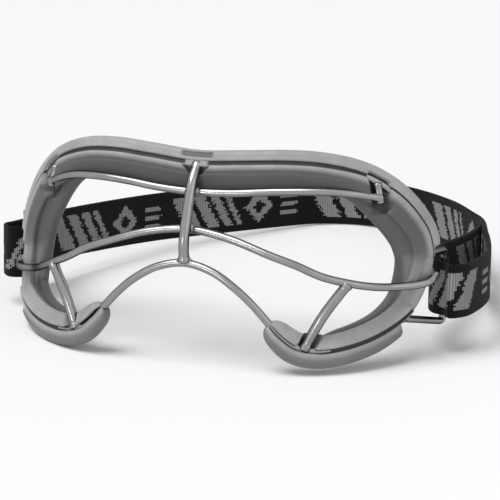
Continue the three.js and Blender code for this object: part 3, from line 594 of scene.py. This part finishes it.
# %% Weld beads
def bead(centre, radius, squeeze, seed):
    """A rippled ball: radius times (1 + 0.09 sin(3 turn) cos(height) + 0.06 sin(5 height))."""
    turn = np.linspace(0, 2 * math.pi, 20, endpoint=False)[None, :]
    height = np.linspace(-math.pi / 2, math.pi / 2, 13)[1:-1, None]
    level = np.cos(height)
    wave = 1 + 0.09 * np.sin(3 * turn + seed) * level + 0.06 * np.sin(5 * height + 2 * seed)
    ball = np.stack([level * np.cos(turn), level * np.sin(turn), np.sin(height) + 0 * turn], -1)
    return centre + ball * wave[..., None] * radius * np.asarray(squeeze)


BEAD_OUT = 2.0  # how far a bead at a crossing lies in front of the bar and beside the post
eye_cross, brow_cross = (mask_point(0.0, bar[0][1], -BEAD_OUT) for bar in (EYE, BROW))
bead_places = []  # centre, radius and squeeze of each bead
for x in (-BEAD_OUT, BEAD_OUT):
    bead_places += [(eye_cross + (x, 0.6, 0.4), 1.5, (0.9, 1.1, 1.2)),
                    (brow_cross + (x, 0.6, -0.3), 1.4, (0.9, 1.1, 1.1)),
                    (post_path[0] + (x * 0.65, 0.4, -0.4), 1.7, (1.1, 1, 0.9))]
for key, (foot, top) in struts.items():
    if key.startswith("brow"):
        bead_places += [(top, 1.5, (1.1, 1, 1)), (foot + (0, 0, 1.4), 1.55, (1, 1, 0.9))]
    elif key.startswith("cheek"):
        step = unit(top - foot) * 1.6
        bead_places += [(foot + step, 2.3, (1, 1, 0.9)), (top - step, 2.4, (1, 1, 0.9))]
for i, (centre, radius, squeeze) in enumerate(bead_places):
    ball = skin("weld_bead_%02d" % i, bead(centre, radius, squeeze, i * 1.7))
    finish_piece(ball, bead_steel, "cage")
print("weld beads:", len(bead_places))

# %% [markdown]
# ## Strap loops
# Each loop is a U of wire. Its arms leave the rim, and its upright is the bar that the strap folds
# round. The strap lies in a plane of its own, which slopes down to the table at the back and rolls
# with the sprung frame.

# %% The strap's plane and the loops
STRAP_WIDTH, STRAP_THICKNESS, STRAP_RISE, STRAP_BACK, PAD_LEVEL = 22.4, 1.5, 15.2, 166.0, 1.1
LOOP_X, LOOP_Y, LOOP_CLEAR, LOOP_BEND, LOOP_RAISE = HALF_WIDTH + 3.0, 47.0, 2.4, 2.6, 1.35
tilt, roll = math.asin((STRAP_RISE - PAD_LEVEL) / STRAP_BACK), math.atan(LOOP_RAISE / LOOP_X)
(cos_x, sin_x), (cos_y, sin_y) = ((math.cos(angle), math.sin(angle)) for angle in (tilt, roll))
turn_x = np.array([[1, 0, 0], [0, cos_x, sin_x], [0, -sin_x, cos_x]])
turn_y = np.array([[cos_y, 0, -sin_y], [0, 1, 0], [sin_y, 0, cos_y]])
strap_turn = turn_x @ turn_y


def in_strap(points):
    """From the strap's own plane (across the head, towards the back, up) to the drawing."""
    return np.asarray(points, float) @ strap_turn.T + np.array([0, LOOP_Y, STRAP_RISE])


def corner(a, b, c, bend, count=9):
    """Rounds the corner b of a path from a to c by a quadratic curve."""
    p, q = b + unit(a - b) * bend, b + unit(c - b) * bend
    t = np.linspace(0, 1, count)[:, None]
    return (1 - t) ** 2 * p + 2 * t * (1 - t) * b + t * t * q


LOOP_STEP = 0.4
beyond = LOOP_CLEAR + LOOP_RADIUS
for name, side in SIDES:
    ends = in_strap([[side * LOOP_X, 0, -beyond], [side * LOOP_X, 0, STRAP_WIDTH + beyond]])
    roots = [near_rim(place(s, side))[0] for s in LOOP_ROOTS]
    first, last = (meet(end, root, RIM_RADIUS) for end, root in zip(ends, roots))
    lower, upper = corner(roots[0], *ends, LOOP_BEND), corner(*ends, roots[1], LOOP_BEND)
    path = np.concatenate([[first], lower, upper, [last]])
    over_loop = np.cross(ends[1] - ends[0], roots[1] - ends[1])
    loop_wire = tube("strap_loop_of_wire_" + name, even(path, LOOP_STEP), LOOP_RADIUS, over_loop,
                     fillets=[(0, 0.5, 1.2), (1, 0.5, 1.2)])
    finish_piece(loop_wire, steel, "cage", "strap_loop_" + name)
    print("loop", name, "spans", np.round(ends[0], 1), "to", np.round(ends[1], 1))

# %% [markdown]
# ## The gasket
# The gasket is moulded in one piece and pressed over the rim. Its section has an outer lip, a slit
# over the wire, an inner lip that runs down into a broad strip, and a thin fin that meets the face.
# The section is drawn once, in distances outwards from the wire and backwards from it, and its
# sizes blend from brow to temple to cheek. This way the whole gasket stays one smooth skin.

# %% How the section varies along the rim
rim_run = lengths(rim_path)
HALF_RIM = rim_run[-1] / 2
# shares of the way from mid brow to mid nose, and then millimetres
GASKET_END, TIP_SHARE, SLIT_OPENS = 0.825, 0.07, (0.705, 0.74)
TEMPLE_ZONE, CHEEK_ZONE, PAD_ZONE, FIN_ENDS = (0.2, 0.36), (0.42, 0.62), (0.5, 0.65), (0.68, 0.79)
SKIN, FACE, BACK, SLIT_FLOOR = 1.9, -3.3, 3.9, -1.85
SLIT_OUT, SLIT_WIDTH, CREASE_WIDTH = 0.35, 1.85, 0.7
LIP_OUT, PAD_GAIN, PAD_LOSS, FIN_DEPTH, CHEEK_FULL, BROW_GROOVE = 5.2, 2.5, 0.9, 8.2, 0.3, 0.3
TIP_LOSS, FIN_LOSS = 0.3, 0.72  # shares of their size
# sizes at the brow, the temple and the cheek
STRIP_WIDE, STRIP_SETBACK = np.array([10.2, 9.0, 6.4]), np.array([1.9, -1.0, 0.2])
FIN_LEAN = np.array([7.0, 12.0, 4.6])


def zones(share):
    """Shares of brow, temple and cheek at a place; share 0 is mid brow and 1 is mid nose."""
    cheek = smooth(share, *CHEEK_ZONE)
    temple = smooth(share, *TEMPLE_ZONE) * (1 - cheek)
    return np.stack([1 - temple - cheek, temple, cheek])


def section(share, opened):
    """The section as a ring of corners for each station: stations x corners x (out, back)."""
    blend = zones(share)
    temple, cheek = blend[1], blend[2]
    tip = np.clip((share - GASKET_END) / TIP_SHARE + 1, 0, 1)
    strip_end = 1 - TIP_LOSS * tip**2
    out = (LIP_OUT + cheek * (PAD_GAIN * smooth(share, *PAD_ZONE) - PAD_LOSS)) * strip_end
    wide, setback = (STRIP_WIDE @ blend) * strip_end, STRIP_SETBACK @ blend
    fin = 1 - FIN_LOSS * smooth(share, *FIN_ENDS)
    lean, depth = (FIN_LEAN @ blend) * fin, FIN_DEPTH * fin
    heel, full, groove = np.maximum(depth, BACK * 1.1), CHEEK_FULL * cheek, BROW_GROOVE * blend[0]
    floor = SLIT_FLOOR + (SKIN - SLIT_FLOOR) * opened
    root = BACK + (setback + SKIN - BACK) * temple
    slit_in = SLIT_OUT - SLIT_WIDTH + (SLIT_WIDTH - CREASE_WIDTH) * temple
    corners = [
        # outer lip, from its edge to its face
        (out, 0.6), (out + 0.1, -0.7), (out * 0.99, -1.9), (out * 0.86, -2.95 - full),
        (out * 0.62, FACE - 0.15 - full), (out * 0.45, FACE - 0.05), (1.8, FACE), (1.4, FACE),
        # slit
        (SLIT_OUT + 0.25, FACE + 0.1), (SLIT_OUT, FACE + 0.5), (SLIT_OUT, (FACE + floor) / 2),
        (SLIT_OUT - 0.1, floor), (slit_in + 0.1, floor), (slit_in, (FACE + floor) / 2),
        (slit_in, FACE + 0.5), (slit_in - 0.2, FACE + 0.1), (slit_in - 0.9, FACE - 0.05),
        # inner lip, ledge and strip
        (-wide * 0.36, FACE * 0.94 + setback * 0.06),
        (-wide * 0.45, FACE * 0.8 + setback * 0.2 + groove),
        (-wide * 0.52, FACE * 0.68 + setback * 0.32 - groove),
        (-wide * 0.78, FACE * 0.26 + setback * 0.74), (-wide * 0.95, setback),
        (-wide, setback + 0.6),
        # the strip's back
        (-wide * 0.975, setback + 1.3),
        (-wide * (0.74 + 0.2 * temple), (setback + SKIN + root) / 2 + 0.1),
        (-wide * (0.5 + 0.4 * temple), root),
        # fin
        (-lean - 1.3, np.maximum(depth * 0.62, root)), (-lean - 1.15, heel - 0.8),
        (-lean - 0.55, heel - 0.05), (-lean + 0.1, heel + 0.35), (-lean + 0.75, heel + 0.3),
        (-lean * 0.7 + 1.0, heel * 0.87), (-lean * 0.4 + 1.3, np.maximum(depth * 0.6, BACK * 1.1)),
        # the outer lip's back
        (out * 0.35, BACK * 1.13), (out * 0.58, BACK * 1.1), (out * 0.82, BACK * 0.78),
        (out * 0.95, BACK * 0.42),
    ]
    return np.stack([np.stack([a + 0 * share, b + 0 * share], -1) for a, b in corners], 1)


def cut_corners(ring, rounds=2):
    """Chaikin's rule: a side from p to q gives 0.75 p + 0.25 q and 0.25 p + 0.75 q."""
    for _ in range(rounds):
        following = np.roll(ring, -1, axis=1)
        ring = np.stack([0.75 * ring + 0.25 * following, 0.25 * ring + 0.75 * following], 2)
        ring = ring.reshape(ring.shape[0], -1, ring.shape[-1])
    return ring


print("zones at brow, temple and cheek:", zones(np.array([0.0, 0.4, 0.7])).round(2).tolist())

# %% [markdown]
# The lip and the strip stop beside each strap loop, so that the loop's arms can pass, and only a
# thin skin stays over the wire there. Where they stop is measured from the loop's roots. The slit
# has a closed floor in front of the wire, except towards the nose, where the real one gapes.

# %% The gasket's stations and their own directions
STATIONS = 660
LIP_STOP_TOP, LIP_STOP_FOOT, STRIP_STOP_TOP, STRIP_STOP_FOOT = 3.6, 2.7, 0.5, 6.0
signed = np.linspace(-GASKET_END, GASKET_END, STATIONS)
share = np.abs(signed)
run_at = (signed * HALF_RIM) % rim_run[-1]
centres = np.stack([np.interp(run_at, rim_run, axis) for axis in rim_path.T], -1)
travel = unit(np.gradient(centres, axis=0))
backward = mask_normal(centres[:, 0], centres[:, 2])
backward = unit(backward - travel * np.sum(backward * travel, 1, keepdims=True))
outward = np.cross(travel, backward)


def gap_from(before, past):
    """Distance in mm outside the stretch between a side's loop roots, negative inside it."""
    limits = np.array([[near_rim(place(root, side))[1] * HALF_RIM for root in LOOP_ROOTS[::-1]]
                       for _, side in SIDES])
    first, last = np.where(signed[:, None] < 0, limits[0], limits[1]).T
    return np.maximum(first - before - share * HALF_RIM, share * HALF_RIM - last - past)


from_lip = gap_from(LIP_STOP_TOP, LIP_STOP_FOOT)
from_strip = gap_from(-STRIP_STOP_TOP, -STRIP_STOP_FOOT)
opened = smooth(share, *SLIT_OPENS)
ring = cut_corners(section(share, opened))[:, ::-1]
print("gasket:", ring.shape[0], "stations of", ring.shape[1], "points")


# %% [markdown]
# Notches are cut into the section before it is placed. Near a strut the inner lip is pushed back to
# a thin skin, with steep walls. The post's top enters through a V in the inner lip, and there the
# slit is closed almost level with the face. Above it the outer lip has a shallow recess. All of
# this is done to whole arrays: a share says how far each point is pushed to its new place.

# %% Notches round the struts, and the post's place
STRIP_FLOOR, V_FLOOR, PLUG_FACE, RECESS_DEPTH = 2.9, 0.9, FACE + 0.6, 1.1
V_NARROW, V_GAIN, V_WALL = 2.4, 2.7, 0.7


def between(value, rise, fall):
    """1 between two limits: a smooth rise over one stretch times a smooth fall over another."""
    return smooth(value, *rise) * (1 - smooth(value, *fall))


def away_from(start, end, points, spread):
    """Distance of points from a strut's axis, seen along the section's own backward direction."""
    offset = points - start
    offset = offset - backward[:, None] * np.sum(offset * backward[:, None], -1, keepdims=True)
    line = unit(end - start)
    line = unit(line - backward * np.sum(line * backward, 1, keepdims=True))
    along = np.sum(offset * line[:, None], -1)
    held = np.clip(along, -spread, np.linalg.norm(end - start) + spread)
    return np.linalg.norm(offset - line[:, None] * held[..., None], axis=-1)


def placed(ring):
    """Carries a ring of (out, back) to the drawing."""
    return centres[:, None] + outward[:, None] * ring[..., :1] + backward[:, None] * ring[..., 1:]


a, b = ring[..., 0].copy(), ring[..., 1].copy()
seen = placed(ring)
inner = smooth(a, SLIT_OUT, SLIT_OUT - 0.4)
into_lip = smooth(a, SLIT_OUT + 1.6, SLIT_OUT + 1.2)
# for each kind: how far it runs past the strut's ends, its wall's foot and top, and its place
notches = {"brow": (1.2, (3.6, 4.3), into_lip), "cheek": (0.5, (3.0, 3.7), inner)}
cut = np.zeros_like(a)
for key, ends in struts.items():
    if key != "post":
        spread, wall, place_share = notches[key.split("_")[0]]
        cut = np.maximum(cut, (1 - smooth(away_from(*ends, seen, spread), *wall)) * place_share)
b += (np.maximum(b, np.where(a > -SKIN, SKIN, STRIP_FLOOR)) - b) * cut

at_brow = (share[:, None] < TEMPLE_ZONE[0]) * smooth(b, SKIN, 0.0)
beside_post = np.abs(seen[..., 0])
v_width = V_NARROW + V_GAIN * smooth(a, -5.0, -SKIN)
v_cut = 1 - smooth(beside_post, v_width, v_width + V_WALL)
v_cut *= between(a, (-5.2, -4.7), (-2.1, -1.8))
b += (np.maximum(b, V_FLOOR) - b) * v_cut * at_brow
plug = 1 - smooth(beside_post, 4.4, 5.4)
plug *= between(a, (-2.1, -1.8), (SLIT_OUT + 0.3, SLIT_OUT + 0.8))
b += (np.minimum(b, PLUG_FACE) - b) * plug * at_brow
recess = (1 - smooth(beside_post, 6.1, 6.7)) * between(a, (1.5, 1.9), (3.7, 4.1)) * at_brow
b += RECESS_DEPTH * recess
print("deepest notch:", round(float(np.max(b - ring[..., 1])), 2), "mm")

# %% [markdown]
# The outer lip ends beside each loop in a rounded, slightly wavy edge, as soft rubber does where a
# knife has trimmed it. The strip ends too, and leaves a smooth thin skin over the wire's front. At
# the tips by the nose the section draws in to a small sleeve.

# %% Where the lip and the strip stop, and the tips
EDGE, TONGUE, TONGUE_FROM, TONGUE_LEFT, STUMP = 0.5, 2.0, 2.0, 0.35, 0.95
TIP_LENGTH, TIP_DRAW, SLEEVE, SLEEVE_OUT, SLEEVE_BACK = 5.0, 0.97, 1.7, 0.42, 0.5
ragged = 0.5 * np.sin(1.9 * b + 0.7) + 0.35 * np.sin(3.1 * a + 2.0)  # the knife's wavy line
lip_left = from_lip[:, None] + ragged
outer_side = smooth(a, 0.5, 0.7)
tongue = np.sqrt(np.clip(1 - np.clip(1 - lip_left / TONGUE, 0, 1) ** 2, 0, 1))
tongue = TONGUE_LEFT + (1 - TONGUE_LEFT) * tongue
a = np.where(a > TONGUE_FROM, TONGUE_FROM + (a - TONGUE_FROM) * tongue, a)
gone = (1 - smooth(lip_left, -EDGE, EDGE)) * outer_side
a += (np.minimum(a, STUMP) - a) * gone
b += (np.maximum(b, SLIT_FLOOR) - b) * gone

strip_gone = 1 - smooth(from_strip[:, None] + ragged, -EDGE, EDGE)
b += (np.maximum(b, SLIT_FLOOR + 0.1) - b) * strip_gone * (1 - outer_side)

tip = np.clip((share - GASKET_END) * HALF_RIM / TIP_LENGTH + 1, 0, 1)[:, None]
draw = np.sqrt(np.clip(1 - (tip * TIP_DRAW) ** 2, 0, 1))
far = np.hypot(a, b) > SLEEVE
a = a * np.where(far, SLEEVE_OUT + (1 - SLEEVE_OUT) * draw, 1)
b = b * np.where(far, SLEEVE_BACK + (1 - SLEEVE_BACK) * draw, 1)
print("the lip is gone at", int(np.sum(gone.max(1) > 0.5)), "stations")

# %% [markdown]
# The two numbers that the silicone reads are worked out mostly on the ring as it was before the
# notches. Shade is painted into the slit, the recess and the notches' floors, where little light
# reaches.

# %% Painted shade, and the finished gasket
ring_a, ring_b = ring[..., 0], ring[..., 1]
# Painted shade in the slit's depth, weaker where it gapes towards the nose, and on the recess and
# the notches' floors.
painted_shade_in_slit = smooth(ring_b, FACE + 0.25, SLIT_FLOOR - 0.15)
painted_shade_in_slit *= np.abs(ring_a - SLIT_OUT + SLIT_WIDTH / 2) < SLIT_WIDTH
painted_shade_in_slit *= (ring_b < SKIN + 0.3) * (ring_a > -2.2) * (1 - 0.4 * opened[:, None])
painted_shade_in_slit *= (1 - plug) * (1 - gone) * (1 - strip_gone)
notch_floor = cut * smooth(b, 0.4, 1.4) * (b < BACK)
painted_shade_in_slit = np.clip(painted_shade_in_slit + 0.6 * recess + 0.7 * notch_floor, 0, 1)
cheek = zones(share)[2][:, None]
# Painted shade on the strip, on the cheek pads' outer lips and on the back of strip and fin, which
# turn away from the light; weaker by the loops, where the strip is gone.
painted_shade_on_strip = smooth(ring_a, -SKIN, -4.6) * (1 - 0.85 * cheek) + smooth(ring_a, 1.0, 3.5) * cheek * 0.75
painted_shade_on_strip *= 0.45 + 0.55 * smooth(from_strip, -5.0, 4.0)[:, None]
painted_shade_on_strip = np.maximum(painted_shade_on_strip, 0.95 * smooth(ring_b, 2.5, 4.5) * (ring_a < 0))
gasket = skin("silicone_gasket", placed(np.stack([a, b], -1)),
              marks=[("painted_shade_in_slit", "POINT", painted_shade_in_slit), ("painted_shade_on_strip", "POINT", painted_shade_on_strip)])
finish_piece(gasket, silicone, "cage", "face_gasket")

# %% [markdown]
# ## The strap
# The strap is one length of elastic. It starts at its sewn end inside the left fold, turns round
# the left loop, passes the slider, goes round the head, and turns back through the right loop to
# its other end. The places by a loop are given outwards and backwards from its bar, in shares of a
# fold's length, and the rest in shares of the loops' spacing and of the distance to the back.

# %% The strap's path seen from above
FOLD_LENGTH = 20.0
LEFT_FOLD = [(-0.055, 1.3), (-0.02, 0.9), (-0.1, 0.5), (-0.1, -0.13), (0.24, -0.315)]
SLIDER_RUN = np.linspace((0.505, -0.02), (-0.02, 2.0), 9)
BACK_OF_HEAD = [
    (-0.86, 0.422), (-0.72, 0.566), (-0.527, 0.705), (-0.323, 0.849), (-0.129, 0.964), (0.054, 1),
    (0.237, 0.982), (0.409, 0.922), (0.559, 0.849), (0.71, 0.753), (0.839, 0.639), (0.93, 0.552),
]
RIGHT_FOLD = [
    (0.1, 3.25), (0.4, 2.25), (0.62, 1.3), (0.635, 0.35), (0.525, -0.3), (0.3, -0.545),
    (0.12, -0.33), (-0.1, -0.22), (-0.25, -0.02), (-0.38, 0.45), (-0.46, 1.05), (-0.42, 1.65),
    (-0.28, 2.3), (-0.2, 3), (-0.2, 3.55), (-0.235, 4.02),
]


def beside_loop(side, shares):
    """Places outside and behind a loop's bar: x = side (bar + outside), y = behind."""
    away = np.asarray(shares, float) * FOLD_LENGTH
    return np.stack([side * (LOOP_X + away[..., 0]), away[..., 1], 0 * away[..., 0]], -1)


web_points = np.concatenate([
    beside_loop(-1, LEFT_FOLD), beside_loop(-1, SLIDER_RUN),
    np.pad(np.array(BACK_OF_HEAD) * (LOOP_X, STRAP_BACK), ((0, 0), (0, 1))),
    beside_loop(1, RIGHT_FOLD),
])
WEB_STEP = 0.45
web_path = even(spline(web_points), WEB_STEP)
web_run = lengths(web_path)
heading = directions(web_path)
sideways = np.stack([-heading[:, 1], heading[:, 0], 0 * heading[:, 0]], -1)
print("webbing length in mm:", round(float(web_run[-1]), 1))

# %% [markdown]
# The pattern is a traditional kind for webbing: groups of slanted bars that narrow, a lozenge with
# a dark heart, and a ladder of short bars, over and over. It is worked out for the middle of every
# cell of the weave. Each row of cells slips by a seeded fraction of a cell, so that the edges are
# as ragged as the yarn leaves them.

# %% The woven pattern and the webbing's section
REPEAT, CELL, SLIP = 76.0, 0.9, 0.9
BARS, BAR_SLANT, BAR_REACH = ((5.0, 8.2), (16.4, 6.2), (25.6, 4.4), (33.0, 2.8)), 0.55, 7.6
LOZENGE, HEART, LOZENGE_AT = (7.6, 8.0), (3.2, 3.4), 49.0
LADDER_AT, RUNG_LENGTH, RUNG_EVERY, RUNG_HALF, LADDER_REACH = 61.0, 9.0, 3.8, 0.95, 6.6


def web_profile(width, thickness, across=32, turn=5):
    """The webbing's section: two nearly flat faces with rolled edges, as (sideways, up)."""
    half = thickness / 2
    level = np.linspace(half, width - half, across)
    puff = 0.06 * np.sin(np.pi * level / width)
    bend = np.linspace(0, math.pi, turn + 2)[1:-1]
    near = np.stack([-half - puff, level], -1)
    top = np.stack([-half * np.cos(bend), width - half + half * np.sin(bend)], -1)
    far = np.stack([half + puff[::-1], level[::-1]], -1)
    under = np.stack([half * np.cos(bend), half - half * np.sin(bend)], -1)
    return np.concatenate([near, top, far, under])[::-1]


def woven_pattern(along, up):
    """1 in a slanted bar, in the lozenge outside its heart, or in a rung; 0 elsewhere."""
    u, v = along % REPEAT, up - STRAP_WIDTH / 2
    slanted, high, reach = u + BAR_SLANT * v, np.abs(v), np.abs(u - LOZENGE_AT)
    grey = np.zeros(np.broadcast(u, v).shape, bool)
    for start, width in BARS:
        grey |= (high < BAR_REACH) & (slanted > start) & (slanted < start + width)
    outline, heart = (reach / across + high / tall for across, tall in (LOZENGE, HEART))
    grey |= (outline < 1) & (heart > 1)
    rung = np.abs(v - np.round(v / RUNG_EVERY) * RUNG_EVERY) < RUNG_HALF
    return grey | (rung & (high < LADDER_REACH) & (u > LADDER_AT) & (u < LADDER_AT + RUNG_LENGTH))


profile = web_profile(STRAP_WIDTH, STRAP_THICKNESS)
web_rings = web_path[:, None] + sideways[:, None] * profile[None, :, :1] + UP * profile[None, :, 1:]
edge_run = np.append(profile[:, 1], profile[0, 1])
web_uv = np.stack(np.broadcast_arrays(web_run[:, None], edge_run[None, :]), -1)
cell_u = np.round((web_run[:-1] + WEB_STEP / 2) / CELL) * CELL
cell_v = (edge_run[:-1] + edge_run[1:]) / 2
slip = np.random.default_rng(11).uniform(-SLIP, SLIP, (len(cell_u), len(cell_v)))
row = (cell_u / CELL).astype(int) % len(cell_u)
pattern = woven_pattern(cell_u[:, None] + slip[row], cell_v[None, :])
web = skin("woven_strap", in_strap(web_rings), web_uv,
           marks=[("grey_yarn", "FACE", pattern.astype(float))])
finish_piece(web, elastic, "strap", "head_strap")
print("grey share of the webbing:", round(float(pattern.mean()), 2))

# %% [markdown]
# ## Slider and stitching
# The slider keeps its CAD shape, which is right as it is, and only gets its finish. Each bar tack
# is one thread that zigzags up the webbing: a thin tube that dips where the needle went in.

# %% Slider and bar tacks
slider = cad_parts["strap_slider"]
slider.data.materials.clear()
slider.data.materials.append(plastic)
TACK_WIDTH, TACK_LENGTH, TACK_TURNS, TACK_STEPS = 3.0, 18.0, 30, 8
THREAD_RADIUS, THREAD_LIFT, THREAD_DIP = 0.22, 0.16, 0.22


def tack(name, node, around):
    """Swing is a triangle wave of the tack's width; height grows evenly; lift dips at each turn."""
    near = np.argmin(np.linalg.norm(web_path - around, axis=1))
    t = np.linspace(0, TACK_TURNS, TACK_TURNS * TACK_STEPS + 1)[:, None]
    swing = (2 * np.abs((t % 2) - 1) - 1) * TACK_WIDTH / 2
    lift = STRAP_THICKNESS / 2 + THREAD_LIFT - THREAD_DIP * np.abs(2 * np.abs((t % 1) - 0.5)) ** 3
    up = (STRAP_WIDTH - TACK_LENGTH) / 2 + t / TACK_TURNS * TACK_LENGTH
    path = web_path[near] + heading[near] * swing + sideways[near] * lift + UP * up
    out = in_strap(sideways[near]) - in_strap(np.zeros(3))
    finish_piece(tube(name, in_strap(path), THREAD_RADIUS, out, 8), thread, "strap", node)


tack("bar_tack_thread_left", "bar_tack_left", beside_loop(-1, (-0.03, 1.15)))
tack("bar_tack_thread_right", "bar_tack_right", beside_loop(1, (-0.215, 3.85)))
print("slider material:", slider.data.materials[0].name)

# %% [markdown]
# ## Studio
# The photograph is lit softly from above on white. A pale card floor keeps the object's shadow. A
# broad distant lamp gives the same light to near and far floor, so the card stays even, and the
# surround adds the rest. The camera and its reflections see the surround as plain white.

# %% Floor and surround
FLOOR_HALF, FLOOR_Z, SURROUND = 3, -0.0002, 0.32  # metres, metres and strength
floor_finish, shader, add = new_material("pale_studio_card")
fill(shader, {"Base Color": "fbfbfb", "Roughness": 0.9, "Specular IOR Level": 0.1})
floor_mesh = bpy.data.meshes.new("studio_floor")
floor_corners = [(x * FLOOR_HALF, y * FLOOR_HALF, FLOOR_Z)
                 for x, y in ((-1, -1), (1, -1), (1, 1), (-1, 1))]
floor_mesh.from_pydata(floor_corners, [], [(0, 1, 2, 3)])
floor_mesh.materials.append(floor_finish)
floor = add_object("studio_floor", floor_mesh)

world = bpy.data.worlds.new("studio_surround")
world.use_nodes = True
bpy.context.scene.world = world
world.node_tree.nodes.clear()
add = partial(add_node, world.node_tree)
ray = add("LightPath", {}).node.outputs
mirrored = add(MATHS, {0: ray["Is Glossy Ray"], 1: ray["Is Transmission Ray"]}, operation="MAXIMUM")
watched = add(MATHS, {0: ray["Is Camera Ray"], 1: mirrored}, operation="MAXIMUM")
plain = add("Background", {"Color": (1, 1, 1, 1), "Strength": SURROUND})
white = add("Background", {"Color": (1, 1, 1, 1), "Strength": 1.0})
add("OutputWorld", {"Surface": add("MixShader", {0: watched, 1: plain, 2: white})})
print("surround strength:", SURROUND)

# %% [markdown]
# Light from high in front makes the gasket's top lip pale and its strip darker, helped by painted
# shade. The weak fill from the right opens the strap's shadows, and a small low lamp draws a bright
# line along each upright.

# %% Lamps
AIM = mathutils.Vector((0, -0.05, 0.04))


def lamp(kind, name, place_m, power, **options):
    """A lamp that faces the goggles."""
    light = bpy.data.lights.new(name, kind)
    light.energy = power
    for option, value in options.items():
        setattr(light, option, value)
    holder = add_object(name, light)
    holder.location = place_m
    holder.rotation_euler = (AIM - mathutils.Vector(place_m)).to_track_quat("-Z", "Y").to_euler()
    print(name, power)


lamp("SUN", "high_broad_lamp", (-0.25, -0.36, 0.9), 2.2, angle=0.7)
lamp("AREA", "right_fill", (0.9, -0.5, 0.5), 1.2, size=0.8)
lamp("AREA", "low_front_lamp", (-0.3, -1.2, 0.22), 1.3, size=0.16)

# %% [markdown]
# ## Camera
# The camera stands 1.05 m away, 19 degrees round to the right and 16.5 degrees up. Its focal
# length gives 2.45 pixels per millimetre at the centre of the drawing on a frame of 500 pixels.

# %% Camera
azimuth, elevation, distance, pixels_per_mm = math.radians(19), math.radians(16.5), 1050.0, 2.45
MIDDLE_ACROSS, MIDDLE_UP, SENSOR, FRAME_PIXELS = 24.0, 45.3, 36.0, 500.0
right = np.array([math.cos(azimuth), math.sin(azimuth), 0])
level = np.array([-math.sin(azimuth), math.cos(azimuth), 0])
forward = level * math.cos(elevation) - UP * math.sin(elevation)
upward = np.cross(right, forward)
eye = (MIDDLE_ACROSS * right + MIDDLE_UP * upward - distance * forward + CAD_SHIFT) * MM
camera_data = bpy.data.cameras.new("studio_camera")
camera_data.sensor_width = SENSOR
camera_data.lens = SENSOR * pixels_per_mm * distance / FRAME_PIXELS
camera_data.clip_start = 0.05
camera = add_object("studio_camera", camera_data)
axes = mathutils.Matrix([list(right), list(upward), list(-forward)]).transposed()
camera.matrix_world = mathutils.Matrix.Translation(eye) @ axes.to_4x4()
bpy.context.scene.camera = camera
bpy.context.scene.view_settings.view_transform = "Standard"
print("camera at", np.round(eye, 3), "lens", round(camera_data.lens, 1))
